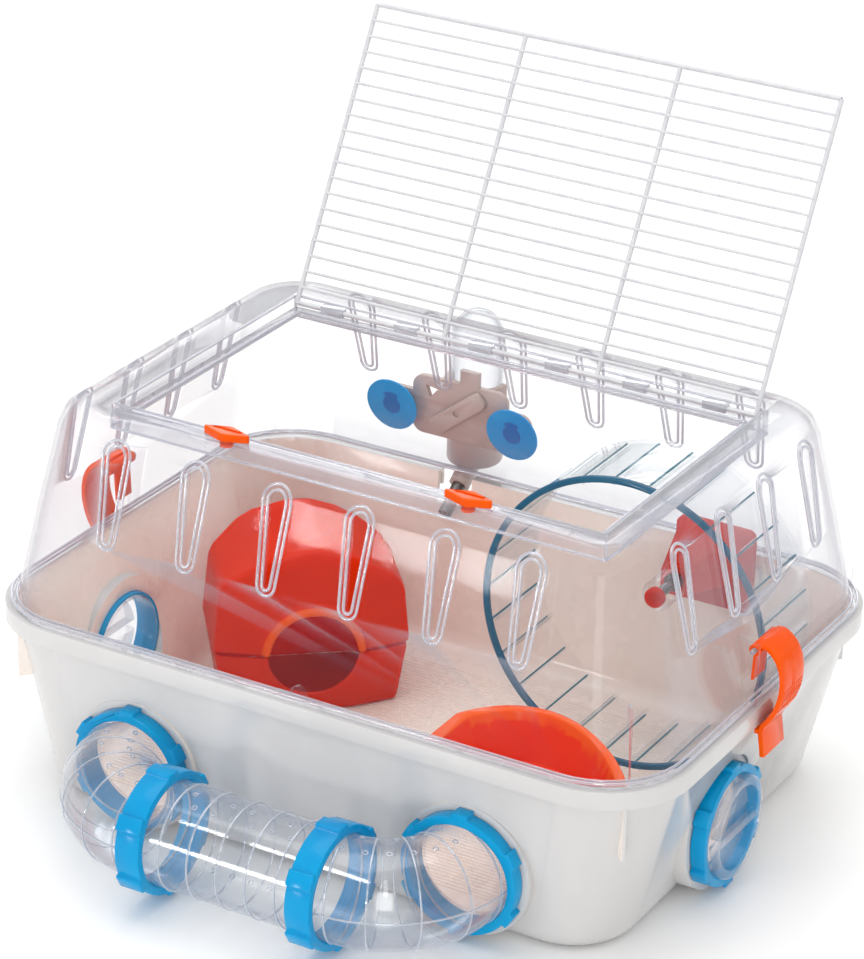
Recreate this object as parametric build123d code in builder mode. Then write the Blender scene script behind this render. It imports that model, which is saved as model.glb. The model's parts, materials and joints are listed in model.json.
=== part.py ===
from build123d import *
import math
import os

# Hamster cage: a moulded tub with a clear lift-off cover, a wire lid hinged in the roof,
# an outside tube run between two ports, and the fittings inside.
# Frame: X along the long side, -Y the side with the tube run, +Z up, millimetres.
# The origin is under the middle of the tub, on the surface it stands on.

os.makedirs("parts", exist_ok=True)


def save(part, name):
    """Label one finished piece and write it as its own STEP file."""
    part.label = name
    export_step(part, f"parts/{name}.step")


# ---------------------------------------------------------------- driving dimensions
RIM_HALF_X = 204.0
RIM_HALF_Y = 147.5
RIM_TOP = 107.0
RIM_BAND = 10.0
RIM_RADIUS = 50.0
SKIN = 2.5

TRAY_BASE = (175.0, 132.5, 38.0)
TRAY_NECK = (198.5, 142.5, 47.0)
TRAY_FOOT_RADIUS = 14.0

COVER_SKIN = 2.0
COVER_SEAT = 110.0
COVER_STEPS = (
    (110.0, 197.0, 142.0, 45.0),
    (160.0, 188.0, 133.0, 41.0),
    (209.0, 178.0, 121.0, 34.0),
    (217.0, 174.0, 117.0, 31.0),
    (220.0, 168.5, 111.5, 27.0),
)
ROOF_TOP = 220.0

HINGE_Y = 86.0
HINGE_Z = 216.8
GRID_REACH = 174.0
GRID_HALF_X = 143.5
GRID_GAPS = 19
GRID_OPEN = 118.8
WIRE = 0.9
CROSS_WIRE = 1.45
HINGE_WIRE = 1.3
HINGE_BORE = 1.36
RECESS_HALF_X = 146.6
RECESS_FRONT = -90.0
RECESS_REAR = 90.0
FRAME_WALL = 1.9
LEDGE = 7.0
LEDGE_TOP = 214.8
FRAME_BOTTOM = 206.0

LATCH_X = 72.0
LATCH_Y = -96.5
STEM_R = 2.5
STEM_HOLE = 2.56

PORT_X = 101.0
PORT_Z = 39.0
PORT_FACE_Y = 140.8
SIDE_PORT_Y = -28.0
SIDE_FACE_X = 188.5
PORT_BORE = 30.6
PORT_POCKET = 37.2
TUBE_OUT = 28.5
TUBE_IN = 26.9
BEND = 43.0
RUN_Y = -190.0
JOINT_X = 51.0
RING_IN = 28.8
RING_OUT = 33.5
RING_LUG = 35.6
RING_WIDE = 8.6

WHEEL_X = 102.5
WHEEL_Z = 109.0
WHEEL_R = 84.0
WHEEL_FRONT = 20.0
WHEEL_REAR = 80.0
TREADS = 26
AXLE_R = 3.0

HOUSE_AT = (-111.0, 44.0)
HOUSE_YAW = 40.0
HOUSE_FOOT = 2.8
HOUSE_SEAM = 40.0
HOUSE_TOP = 104.0
DOOR_R = 25.0
DOOR_Z = 41.0

CLIP_Y = -10.0
CLIP_PIVOT = (200.2, 140.0)
CLIP_WIDE = 24.0

BOTTLE_AT = (-69.0, 163.0)
BOTTLE_R = 15.5
LEVER_AT = (-69.0, 146.0)
CUP_X = (-110.0, -30.5)
CUP_Z = 143.5
SIDES = (("left", -1), ("right", 1))


# ---------------------------------------------------------------- shared helpers
def rounded(plane, half_x, half_y, radius):
    """A rounded rectangle sketch on a plane."""
    with BuildSketch(plane) as outline:
        RectangleRounded(2 * half_x, 2 * half_y, radius)
    return outline.sketch


def tub_solid(inset, floor, top):
    """The tub's tapered body, pulled in by inset, from floor to top, with a round foot."""
    low_x, low_y, low_r = TRAY_BASE
    neck_x, neck_y, neck_r = TRAY_NECK
    height = RIM_TOP - RIM_BAND

    def section(z):
        t = z / height
        return rounded(
            Plane.XY.offset(z),
            low_x + (neck_x - low_x) * t - inset,
            low_y + (neck_y - low_y) * t - inset,
            low_r + (neck_r - low_r) * t - inset,
        )

    with BuildPart() as body:
        loft(sections=[section(floor), section(top)], ruled=True)
        foot = body.edges().group_by(Axis.Z)[0]
        fillet(foot, radius=TRAY_FOOT_RADIUS - inset)
    return body.part


def port_planes():
    """The four ports as (name, plane on the flat face, outward normal)."""
    return (
        ("front_left", Plane((-PORT_X, -PORT_FACE_Y, PORT_Z), x_dir=(1, 0, 0), z_dir=(0, -1, 0))),
        ("front_right", Plane((PORT_X, -PORT_FACE_Y, PORT_Z), x_dir=(1, 0, 0), z_dir=(0, -1, 0))),
        ("side_left", Plane((-SIDE_FACE_X, SIDE_PORT_Y, PORT_Z), x_dir=(0, 1, 0), z_dir=(-1, 0, 0))),
        ("side_right", Plane((SIDE_FACE_X, SIDE_PORT_Y, PORT_Z), x_dir=(0, 1, 0), z_dir=(1, 0, 0))),
    )


def disc(plane, radius, start, end):
    """A solid cylinder from start to end along the plane's normal."""
    with BuildPart() as body:
        with BuildSketch(plane.offset(start)):
            Circle(radius)
        extrude(amount=end - start)
    return body.part


def corner_fins(reach_x, reach_y, centre, low, high, depth):
    """Four thin upright fins that stand out of the corners at 45 degrees."""
    with BuildPart() as fins:
        for sx in (-1, 1):
            for sy in (-1, 1):
                place = Plane((sx * reach_x, sy * reach_y, low), x_dir=(sx, sy, 0), z_dir=(0, 0, 1))
                with BuildSketch(place):
                    with Locations((centre, 0)):
                        Rectangle(depth, 1.6)
                extrude(amount=high - low)
    return fins.part


# ---------------------------------------------------------------- tray
tray_outer = tub_solid(0.0, 0.0, RIM_TOP)
tray_inner = tub_solid(SKIN, SKIN, RIM_TOP + 5)
for port_name, port_plane in port_planes():
    tray_outer = tray_outer + disc(port_plane, PORT_POCKET, -14.0, 0.0)
    tray_outer = tray_outer - disc(port_plane, PORT_POCKET, 0.0, 20.0)
    tray_inner = tray_inner - disc(port_plane, PORT_POCKET + SKIN, -SKIN - 0.6, 20.0)

TRAY_FIN_LOW = 64.0
BOWL_SHELF_Z = 92.0
NOTCH_X = 22.0
NOTCH_LOW = 88.0
PAD_X = 52.0
PAD_LOW = 72.0
PAD_HIGH = 100.0
PAD_FACE = 135.8

with BuildPart() as tray:
    add(tray_outer)
    add(corner_fins(150.0, 95.0, 43.0, TRAY_FIN_LOW, RIM_TOP - 2, 12.0))
    # rim: a flat ledge with a skirt hanging from its outer edge
    with BuildSketch(Plane.XY.offset(RIM_TOP - 2.4)):
        RectangleRounded(2 * RIM_HALF_X, 2 * RIM_HALF_Y, RIM_RADIUS)
    extrude(amount=2.4)
    with BuildSketch(Plane.XY.offset(RIM_TOP - RIM_BAND)):
        RectangleRounded(2 * RIM_HALF_X, 2 * RIM_HALF_Y, RIM_RADIUS)
        RectangleRounded(
            2 * (RIM_HALF_X - SKIN), 2 * (RIM_HALF_Y - SKIN), RIM_RADIUS - SKIN, mode=Mode.SUBTRACT
        )
    extrude(amount=RIM_BAND)
    add(tray_inner, mode=Mode.SUBTRACT)
    # pad on the rear wall for the wheel bracket
    with BuildSketch(Plane.XY.offset(PAD_LOW)):
        with Locations((WHEEL_X, PAD_FACE + 2.5)):
            Rectangle(PAD_X, 5)
    extrude(amount=PAD_HIGH - PAD_LOW)
    # two shelves on the front wall that carry the food bowl
    for shelf_x in (92.0, 138.0):
        with BuildSketch(Plane.XY.offset(BOWL_SHELF_Z)):
            with Locations((shelf_x, -136.5)):
                Rectangle(12, 6)
        extrude(amount=3.0)
    for port_name, port_plane in port_planes():
        add(disc(port_plane, PORT_BORE, -24.0, 10.0), mode=Mode.SUBTRACT)
    # notch in the rear rim for the drinker's nozzle
    with BuildSketch(Plane.XY.offset(NOTCH_LOW)):
        with Locations((BOTTLE_AT[0], RIM_HALF_Y - 4)):
            Rectangle(NOTCH_X, 24)
    extrude(amount=30, mode=Mode.SUBTRACT)
save(tray.part, "tray")


# ---------------------------------------------------------------- cover
def cover_solid(inset, drop):
    """The cover's outer shape pulled in by inset, with everything above its foot lowered by drop."""
    sections = []
    for z, half_x, half_y, radius in COVER_STEPS:
        height = z if z == COVER_SEAT else z - drop
        place = Plane.XY.offset(height)
        sections.append(rounded(place, half_x - inset, half_y - inset, radius - inset))
    with BuildPart() as body:
        loft(sections=sections, ruled=True)
    return body.part


SLOT_LOW = (163.0, 2.2)
REAR_SLOT_LOW = 168.5
SLOT_HIGH = (206.5, 5.2)
SLOT_LIP = 3.4
SLOT_PROUD = 1.3
FRONT_SLOTS = (-123.0, -74.0, -24.5, 24.5, 74.0, 123.0)
SIDE_SLOTS = (-73.0, -24.3, 24.3, 73.0)


def slot_planes():
    """Each wall slot as (upright plane facing out of the cage, height of the slot's lower end)."""
    places = []
    for x in FRONT_SLOTS:
        places.append((Plane((x, -100, 0), x_dir=(1, 0, 0), z_dir=(0, -1, 0)), SLOT_LOW[0]))
        places.append((Plane((x, 100, 0), x_dir=(-1, 0, 0), z_dir=(0, 1, 0)), REAR_SLOT_LOW))
    for y in SIDE_SLOTS:
        places.append((Plane((150, y, 0), x_dir=(0, 1, 0), z_dir=(1, 0, 0)), SLOT_LOW[0]))
        places.append((Plane((-150, y, 0), x_dir=(0, -1, 0), z_dir=(-1, 0, 0)), SLOT_LOW[0]))
    return places


def slot_prisms(grow):
    """All wall slots, narrow below and round above, as one group reaching through the walls."""
    with BuildPart() as prisms:
        for place, low_z in slot_planes():
            with BuildSketch(place):
                with Locations((0, low_z)):
                    Circle(SLOT_LOW[1] + grow)
                with Locations((0, SLOT_HIGH[0])):
                    Circle(SLOT_HIGH[1] + grow)
                make_hull()
            extrude(amount=50)
    return prisms.part


BRACKET_TOP = 147.0
BRACKET_OUT = 203.6
CHEEK = 2.4
CLIP_GAP = 0.7
PIN_R = 1.5
cover_outer = cover_solid(0.0, 0.0)
cover_inner = cover_solid(COVER_SKIN, COVER_SKIN)
slot_rims = (slot_prisms(SLOT_LIP) & cover_solid(-SLOT_PROUD, 0.0)) - cover_inner
frame_mid = (RECESS_FRONT + RECESS_REAR) / 2
frame_deep = RECESS_REAR - RECESS_FRONT

with BuildPart() as cover:
    add(cover_outer)
    # flange that sits on the tray rim, and thin fins on the corners
    with BuildSketch(Plane.XY.offset(RIM_TOP + 0.1)):
        RectangleRounded(2 * 201.0, 2 * 144.5, 47.5)
    extrude(amount=3.1)
    add(corner_fins(152.0, 97.0, 46.0, COVER_SEAT - 1.5, 152.0, 5.0))
    # clip brackets on both ends: two cheeks each
    for side, sign in SIDES:
        for cheek in (-1, 1):
            cheek_y = CLIP_Y + cheek * (CLIP_WIDE / 2 + CLIP_GAP + CHEEK / 2)
            with BuildSketch(Plane.XZ.offset(-cheek_y - CHEEK / 2)):
                with BuildLine():
                    Polyline(
                        (sign * 188.0, BRACKET_TOP),
                        (sign * BRACKET_OUT, BRACKET_TOP - 2.5),
                        (sign * BRACKET_OUT, COVER_SEAT - 1),
                        (sign * 194.0, COVER_SEAT - 1),
                        close=True,
                    )
                make_face()
                with Locations((sign * CLIP_PIVOT[0], CLIP_PIVOT[1])):
                    Circle(PIN_R, mode=Mode.SUBTRACT)
            extrude(amount=CHEEK)
    # lug in the middle of the front flange
    with BuildSketch(Plane.XZ.offset(142.0)):
        with Locations((2, RIM_TOP + 3.1)):
            Rectangle(26, 3.0)
        with Locations((2, RIM_TOP + 6)):
            Circle(4.2)
    extrude(amount=2.8)
    add(cover_inner, mode=Mode.SUBTRACT)
    with BuildSketch(Plane.XY.offset(RIM_TOP - 1)):
        RectangleRounded(2 * 195.0, 2 * 140.0, 43)
    extrude(amount=COVER_SEAT - RIM_TOP + 1, mode=Mode.SUBTRACT)
    add(slot_rims)
    add(slot_prisms(0.0), mode=Mode.SUBTRACT)
    # roof frame: an upright wall round the opening, then the recess and ledge for the wire lid
    with BuildSketch(Plane.XY.offset(FRAME_BOTTOM)):
        with Locations((0, frame_mid)):
            Rectangle(2 * (RECESS_HALF_X + FRAME_WALL), frame_deep + 2 * FRAME_WALL)
    extrude(amount=ROOF_TOP - FRAME_BOTTOM)
    with BuildSketch(Plane.XY.offset(LEDGE_TOP)):
        with Locations((0, frame_mid)):
            Rectangle(2 * RECESS_HALF_X, frame_deep)
    extrude(amount=20, mode=Mode.SUBTRACT)
    with BuildSketch(Plane.XY.offset(FRAME_BOTTOM - 1)):
        with Locations((0, frame_mid)):
            Rectangle(2 * (RECESS_HALF_X - LEDGE), frame_deep - 2 * LEDGE)
    extrude(amount=20, mode=Mode.SUBTRACT)
    with BuildSketch(Plane.XY.offset(FRAME_BOTTOM - 1)):
        with Locations((0, frame_mid)):
            Rectangle(2 * RECESS_HALF_X, frame_deep)
    extrude(amount=LEDGE_TOP - 2.2 - FRAME_BOTTOM + 1, mode=Mode.SUBTRACT)
    # holes for the latch stems
    with BuildSketch(Plane.XY.offset(ROOF_TOP - 8)):
        for side, sign in SIDES:
            with Locations((sign * LATCH_X, LATCH_Y)):
                Circle(STEM_HOLE)
    extrude(amount=12, mode=Mode.SUBTRACT)
save(cover.part, "cover")

# ---------------------------------------------------------------- wire lid and its hinge strip
lid_y = math.cos(math.radians(180 - GRID_OPEN))
lid_z = math.sin(math.radians(180 - GRID_OPEN))
grid_pitch = GRID_REACH / GRID_GAPS

with BuildPart() as roof_grid:
    for row in range(GRID_GAPS + 1):
        reach = row * grid_pitch
        wire_r = {0: HINGE_WIRE, GRID_GAPS: CROSS_WIRE}.get(row, WIRE)
        with BuildSketch(Plane.YZ.offset(-GRID_HALF_X - 0.8)):
            with Locations((HINGE_Y + reach * lid_y, HINGE_Z + reach * lid_z)):
                Circle(wire_r)
        extrude(amount=2 * GRID_HALF_X + 1.6)
    along = Plane((0, HINGE_Y, HINGE_Z), x_dir=(1, 0, 0), z_dir=(0, lid_y, lid_z))
    with BuildSketch(along):
        for step in (-3, -1, 1, 3):
            with Locations((step * GRID_HALF_X / 3, 0)):
                Circle(CROSS_WIRE)
    extrude(amount=GRID_REACH)
save(roof_grid.part, "roof_grid")

with BuildPart() as roof_hinge_strip:
    with BuildSketch(Plane.XY.offset(LEDGE_TOP)):
        with Locations((0, HINGE_Y + 3.0)):
            Rectangle(276, 1.6)
    extrude(amount=1.8)
    with BuildSketch(Plane.XY.offset(LEDGE_TOP)):
        for step in (-5, -3, -1, 1, 3, 5):
            with Locations((step * GRID_HALF_X / 6, HINGE_Y + 0.1)):
                Rectangle(14, 5.0)
    extrude(amount=4.6)
    with BuildSketch(Plane.YZ.offset(-145)):
        with Locations((HINGE_Y, HINGE_Z)):
            Circle(HINGE_BORE)
    extrude(amount=290, mode=Mode.SUBTRACT)
save(roof_hinge_strip.part, "roof_hinge_strip")

# ---------------------------------------------------------------- roof latches
for side, sign in SIDES:
    with BuildPart() as latch:
        with BuildSketch(Plane.XY.offset(ROOF_TOP + 0.3)):
            with Locations((sign * LATCH_X - 12.4, LATCH_Y), (sign * LATCH_X + 12.4, LATCH_Y)):
                Circle(1.2)
            with Locations((sign * LATCH_X, LATCH_Y)):
                Circle(5.6)
            make_hull()
        extrude(amount=4.2)
        fillet(latch.faces().sort_by(Axis.Z)[-1].edges(), radius=0.8)
        with BuildSketch(Plane.XY.offset(ROOF_TOP + 3.0)):
            with Locations((sign * LATCH_X, LATCH_Y + 1.0)):
                Rectangle(17, 1.8)
        extrude(amount=3, mode=Mode.SUBTRACT)
        with BuildSketch(Plane.XY.offset(ROOF_TOP - COVER_SKIN - 2.2)):
            with Locations((sign * LATCH_X, LATCH_Y)):
                Circle(STEM_R)
        extrude(amount=COVER_SKIN + 2.6)
        with BuildSketch(Plane.XY.offset(ROOF_TOP - COVER_SKIN - 2.2)):
            with Locations((sign * LATCH_X, LATCH_Y)):
                Circle(3.6)
        extrude(amount=1.8)
    save(latch.part, f"roof_latch_{side}")

# ---------------------------------------------------------------- side clips and pins
HOOK_Z = 94.1
HOOK_TIP = 202.8
for side, sign in SIDES:
    pivot_x, pivot_z = CLIP_PIVOT
    flat = Plane.XZ.offset(-CLIP_Y - CLIP_WIDE / 2)
    with BuildPart() as clip:
        with BuildSketch(flat):
            with BuildLine() as bow:
                Polyline((sign * (pivot_x + 1.5), pivot_z + 3.2), (sign * 205.5, pivot_z + 3.4))
                Spline(
                    (sign * 205.5, pivot_z + 3.4),
                    (sign * 213.5, pivot_z - 4),
                    (sign * 216.4, pivot_z - 18),
                    (sign * 213.4, pivot_z - 32),
                    (sign * 207.2, pivot_z - 42),
                )
                Polyline(
                    (sign * 207.2, pivot_z - 42),
                    (sign * 206.0, HOOK_Z),
                    (sign * 208.0, pivot_z - 60),
                )
                Line((sign * HOOK_TIP, HOOK_Z), (sign * 206.2, HOOK_Z))
            trace(line_width=2.6)
            with Locations((sign * pivot_x, pivot_z)):
                Circle(3.3)
        extrude(amount=CLIP_WIDE)
        with BuildSketch(Plane.XZ.offset(-CLIP_Y - 7)):
            with BuildLine():
                Polyline(
                    (sign * (pivot_x - 2.6), pivot_z),
                    (sign * (pivot_x - 1.0), pivot_z - 1),
                    (sign * (pivot_x - 2.2), pivot_z - 20),
                    (sign * (pivot_x - 3.6), pivot_z - 20),
                    close=True,
                )
            make_face()
        extrude(amount=14)
        with BuildSketch(Plane.XZ.offset(-CLIP_Y - 20)):
            with Locations((sign * pivot_x, pivot_z)):
                Circle(PIN_R + 0.06)
        extrude(amount=40, mode=Mode.SUBTRACT)
    save(clip.part, f"side_clip_{side}")
    with BuildPart() as clip_pin:
        with BuildSketch(Plane.XZ.offset(-CLIP_Y - CLIP_WIDE / 2 - CLIP_GAP - CHEEK)):
            with Locations((sign * pivot_x, pivot_z)):
                Circle(PIN_R)
        extrude(amount=CLIP_WIDE + 2 * (CLIP_GAP + CHEEK))
    save(clip_pin.part, f"clip_pin_{side}")

# ---------------------------------------------------------------- tube run and its rings
LUGS = 6


def ring_body(place, width, spigot):
    """A blue collar on a plane: its flat ring, grip lugs, and an optional spigot behind it."""
    with BuildPart() as ring:
        with BuildSketch(place.offset(0.3)):
            Circle(RING_OUT)
            with PolarLocations((RING_OUT + RING_LUG) / 2 - 1, LUGS, start_angle=30):
                Rectangle(RING_LUG - RING_OUT + 2, 9)
            Circle(RING_IN, mode=Mode.SUBTRACT)
        extrude(amount=width - 0.3)
        if spigot:
            with BuildSketch(place.offset(-spigot)):
                Circle(PORT_BORE - 0.3)
                Circle(RING_IN, mode=Mode.SUBTRACT)
            extrude(amount=spigot + 0.4)
    return ring.part


for port_name, port_plane in port_planes():
    save(ring_body(port_plane, RING_WIDE, 6.0), f"port_ring_{port_name}")

JOINT_WIDE = 15.0
for side, sign in SIDES:
    ring_plane = Plane(
        (sign * JOINT_X - JOINT_WIDE / 2, RUN_Y, PORT_Z), x_dir=(0, 1, 0), z_dir=(1, 0, 0)
    )
    save(ring_body(ring_plane, JOINT_WIDE, 0.0), f"joint_ring_{side}")

ELBOW_INNER_END = -PORT_FACE_Y + 6.0
for side, sign in SIDES:
    bend_start = RUN_Y + BEND
    with BuildPart() as elbow:
        with BuildLine() as route:
            Line((sign * PORT_X, ELBOW_INNER_END, PORT_Z), (sign * PORT_X, bend_start, PORT_Z))
            RadiusArc(
                (sign * PORT_X, bend_start, PORT_Z),
                (sign * (PORT_X - BEND), RUN_Y, PORT_Z),
                sign * BEND,
            )
            Line((sign * (PORT_X - BEND), RUN_Y, PORT_Z), (sign * JOINT_X, RUN_Y, PORT_Z))
        with BuildSketch(Plane((sign * PORT_X, ELBOW_INNER_END, PORT_Z), z_dir=(0, -1, 0))):
            Circle(TUBE_OUT)
            Circle(TUBE_IN, mode=Mode.SUBTRACT)
        sweep(path=route.wire())
    save(elbow.part, f"elbow_{side}")

with BuildPart() as straight_tube:
    with BuildSketch(Plane((-JOINT_X, RUN_Y, PORT_Z), x_dir=(0, 1, 0), z_dir=(1, 0, 0))):
        Circle(TUBE_OUT)
        Circle(TUBE_IN, mode=Mode.SUBTRACT)
    extrude(amount=2 * JOINT_X)
save(straight_tube.part, "straight_tube")

CAP_OUT = 12.6
CAP_FACE = 6.0
for port_name, port_plane in port_planes()[2:]:
    with BuildPart() as side_cap:
        with BuildSketch(port_plane.offset(-6.0)):
            Circle(TUBE_OUT)
        extrude(amount=CAP_OUT + 6.0)
        outward = Axis(port_plane.origin, port_plane.z_dir)
        face_rim = side_cap.edges().filter_by(GeomType.CIRCLE).sort_by(outward)[-1]
        fillet(face_rim, radius=1.5)
        with BuildSketch(port_plane.offset(CAP_FACE)):
            Circle(TUBE_OUT - 5.5)
            Rectangle(60, 5.0, mode=Mode.SUBTRACT)
        extrude(amount=20, mode=Mode.SUBTRACT)
        with BuildSketch(port_plane.offset(-7.0)):
            Circle(TUBE_OUT - 2.0)
        extrude(amount=7.0 + CAP_FACE - 2.0, mode=Mode.SUBTRACT)
    save(side_cap.part, f"{port_name.replace('side', 'side_cap')}")

# ---------------------------------------------------------------- exercise wheel
wheel_front = Plane((WHEEL_X, WHEEL_FRONT, WHEEL_Z), x_dir=(1, 0, 0), z_dir=(0, 1, 0))
WHEEL_SKIN = 1.8
RING_DEEP = 3.2
HUB_R = 9.0
HUB_FRONT = 62.0
COLLAR_GAP = 0.4
BRACKET_NOSE = 84.0
BRACKET_BACK = PAD_FACE - 0.1
with BuildPart() as wheel_drum:
    with BuildSketch(wheel_front.offset(RING_DEEP)):
        Circle(WHEEL_R)
        Circle(WHEEL_R - WHEEL_SKIN, mode=Mode.SUBTRACT)
        with PolarLocations(WHEEL_R - WHEEL_SKIN - 1.0, TREADS):
            Rectangle(3.0, 1.6)
    extrude(amount=WHEEL_REAR - WHEEL_FRONT - RING_DEEP)
    with BuildSketch(wheel_front.offset(WHEEL_REAR - WHEEL_FRONT - WHEEL_SKIN)):
        Circle(WHEEL_R - 0.5)
    extrude(amount=WHEEL_SKIN)
    with BuildSketch(wheel_front.offset(HUB_FRONT - WHEEL_FRONT)):
        Circle(HUB_R)
    extrude(amount=WHEEL_REAR - HUB_FRONT)
    with BuildSketch(wheel_front):
        Circle(AXLE_R + 0.06)
    extrude(amount=100, mode=Mode.SUBTRACT)
save(wheel_drum.part, "wheel_drum")

with BuildPart() as wheel_ring:
    with BuildSketch(wheel_front):
        Circle(WHEEL_R + 1.0)
        Circle(WHEEL_R - 2.6, mode=Mode.SUBTRACT)
    extrude(amount=RING_DEEP)
    fillet(wheel_ring.edges(), radius=0.9)
save(wheel_ring.part, "wheel_ring")

with BuildPart() as wheel_axle:
    with BuildSketch(wheel_front.offset(HUB_FRONT - 3.4 - WHEEL_FRONT)):
        Circle(AXLE_R)
    extrude(amount=BRACKET_BACK - 6 - HUB_FRONT + 3.4)
    with BuildSketch(wheel_front.offset(WHEEL_REAR + COLLAR_GAP - WHEEL_FRONT)):
        Circle(5.2)
    extrude(amount=BRACKET_NOSE - WHEEL_REAR - COLLAR_GAP)
save(wheel_axle.part, "wheel_axle")

with BuildPart() as wheel_hub_cap:
    with BuildSketch(wheel_front.offset(HUB_FRONT - COLLAR_GAP - 5.0 - WHEEL_FRONT)):
        Circle(7.4)
    extrude(amount=5.0)
    fillet(wheel_hub_cap.edges().group_by(Axis.Y)[0], radius=2.0)
    with BuildSketch(wheel_front.offset(HUB_FRONT - COLLAR_GAP - 3.0 - WHEEL_FRONT)):
        Circle(AXLE_R)
    extrude(amount=4.0, mode=Mode.SUBTRACT)
save(wheel_hub_cap.part, "wheel_hub_cap")

with BuildPart() as wheel_bracket:
    cone_back = BRACKET_BACK - 4.0
    with BuildSketch(wheel_front.offset(BRACKET_NOSE - WHEEL_FRONT)):
        RectangleRounded(18, 18, 5)
    with BuildSketch(wheel_front.offset(cone_back - WHEEL_FRONT)):
        RectangleRounded(44, 30, 5)
    loft(ruled=True)
    with BuildSketch(Plane.XZ.offset(-BRACKET_BACK)):
        with Locations((WHEEL_X, 99)):
            RectangleRounded(48, 50, 5)
    extrude(amount=4.0)
    with BuildSketch(Plane.XY.offset(PAD_HIGH + 0.1)):
        with Locations((WHEEL_X, PAD_FACE + 0.4)):
            Rectangle(30, 4.0)
    extrude(amount=3.0)
    with BuildSketch(wheel_front.offset(BRACKET_NOSE - WHEEL_FRONT - 1)):
        Circle(AXLE_R)
    extrude(amount=BRACKET_BACK - 6 - BRACKET_NOSE + 1.0, mode=Mode.SUBTRACT)
save(wheel_bracket.part, "wheel_bracket")

# ---------------------------------------------------------------- sleeping house
HOUSE_SKIN = 2.0
yaw = math.radians(HOUSE_YAW)
house_plane = Plane(
    (HOUSE_AT[0], HOUSE_AT[1], 0), x_dir=(math.cos(yaw), math.sin(yaw), 0), z_dir=(0, 0, 1)
)
house_front = Plane(
    (HOUSE_AT[0], HOUSE_AT[1], 0),
    x_dir=(math.cos(yaw), math.sin(yaw), 0),
    z_dir=(math.sin(yaw), -math.cos(yaw), 0),
)


def house_section(z, wide, front, back, inset):
    """The house's eight-sided plan at one height."""
    with BuildSketch(house_plane.offset(z)) as plan:
        with BuildLine():
            Polyline(
                (0.48 * wide - inset / 2, -front + inset),
                (wide - inset, -0.8 * front + inset / 2),
                (wide - inset, 0.62 * back - inset / 2),
                (0.68 * wide - inset / 2, back - inset),
                (-0.68 * wide + inset / 2, back - inset),
                (-wide + inset, 0.62 * back - inset / 2),
                (-wide + inset, -0.8 * front + inset / 2),
                (-0.48 * wide + inset / 2, -front + inset),
                close=True,
            )
        make_face()
    return plan.sketch


def house_lower(inset, low, high):
    """The base half: it widens a little from its foot to the seam."""
    with BuildPart() as body:
        loft(
            sections=[
                house_section(low, 49.5, 34.5, 34.0, inset),
                house_section(high, 55.2, 38.2, 38.6, inset),
            ],
            ruled=True,
        )
    return body.part


def house_upper(inset, low):
    """The roof half: tapered walls cut by a faceted gable that runs front to back."""
    with BuildPart() as body:
        loft(
            sections=[
                house_section(low, 56.2, 39.0, 39.4, inset),
                house_section(HOUSE_TOP + 6, 50.0, 36.5, 35.5, inset),
            ],
            ruled=True,
        )
        with BuildSketch(house_front.offset(-60)):
            with BuildLine():
                Polyline(
                    (-60, low),
                    (60, low),
                    (60, 66 - inset),
                    (47, 84 - inset),
                    (22, 99 - inset),
                    (7, HOUSE_TOP - inset),
                    (-7, HOUSE_TOP - inset),
                    (-26, 99 - inset),
                    (-50, 84 - inset),
                    (-60, 66 - inset),
                    close=True,
                )
            make_face()
        extrude(amount=120, mode=Mode.INTERSECT)
    return body.part


def door_hole():
    """The round doorway as a solid through the front wall."""
    with BuildPart() as hole:
        with BuildSketch(house_front.offset(20)):
            with Locations((0, DOOR_Z)):
                Circle(DOOR_R)
        extrude(amount=40)
    return hole.part


doorway = door_hole()
with BuildPart() as house_base:
    add(house_lower(0.0, HOUSE_FOOT, HOUSE_SEAM))
    add(house_lower(HOUSE_SKIN, HOUSE_FOOT - 0.5, HOUSE_SEAM + 0.5), mode=Mode.SUBTRACT)
    add(doorway, mode=Mode.SUBTRACT)
save(house_base.part, "house_base")

with BuildPart() as house_roof:
    add(house_upper(0.0, HOUSE_SEAM + 0.3))
    # awning over the upper half of the doorway
    with BuildSketch(house_front.offset(30)):
        with Locations((0, DOOR_Z)):
            Circle(DOOR_R + 4.6)
            Circle(DOOR_R, mode=Mode.SUBTRACT)
        with Locations((0, DOOR_Z - 24.5)):
            Rectangle(80, 50, mode=Mode.SUBTRACT)
    extrude(amount=13.5)
    add(house_upper(HOUSE_SKIN, HOUSE_SEAM - 0.5), mode=Mode.SUBTRACT)
    add(doorway, mode=Mode.SUBTRACT)
save(house_roof.part, "house_roof")

# ---------------------------------------------------------------- food bowl
BOWL_MID = (120.0, -105.0)
BOWL_TOP = 100.0
BOWL_LIP_LOW = BOWL_SHELF_Z + 3.3
BOWL_LOW = 72.0
BOWL_FLOOR = 2.4
BOWL_PLAN = ((-51, -32.5), (31, -32.5), (50, -28), (62, -17), (28, 20), (-8, 36), (-51, 8))
BOWL_FOOT_SCALE = 0.70
BOWL_NECK_SCALE = 0.85
HOLLOW_FOOT_SCALE = 0.66
HOLLOW_TOP_SCALE = 0.87


def bowl_outline(z, scale):
    """The bowl's plan at one height: straight along the tub's wall, rounded towards the middle."""
    with BuildSketch(Plane.XY.offset(z)) as plan:
        with BuildLine():
            points = [
                (BOWL_MID[0] + scale * dx, BOWL_MID[1] + scale * dy)
                for dx, dy in BOWL_PLAN
            ]
            Line(points[0], points[1])
            ThreePointArc(points[1], points[2], points[3])
            Spline(points[3], points[4], points[5], points[6])
            Line(points[6], points[0])
        make_face()
    return plan.sketch


with BuildPart() as bowl_hollow:
    hollow_low = bowl_outline(BOWL_LOW + BOWL_FLOOR, HOLLOW_FOOT_SCALE)
    hollow_high = bowl_outline(BOWL_TOP + 1, HOLLOW_TOP_SCALE)
    loft(sections=[hollow_low, hollow_high], ruled=True)

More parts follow.
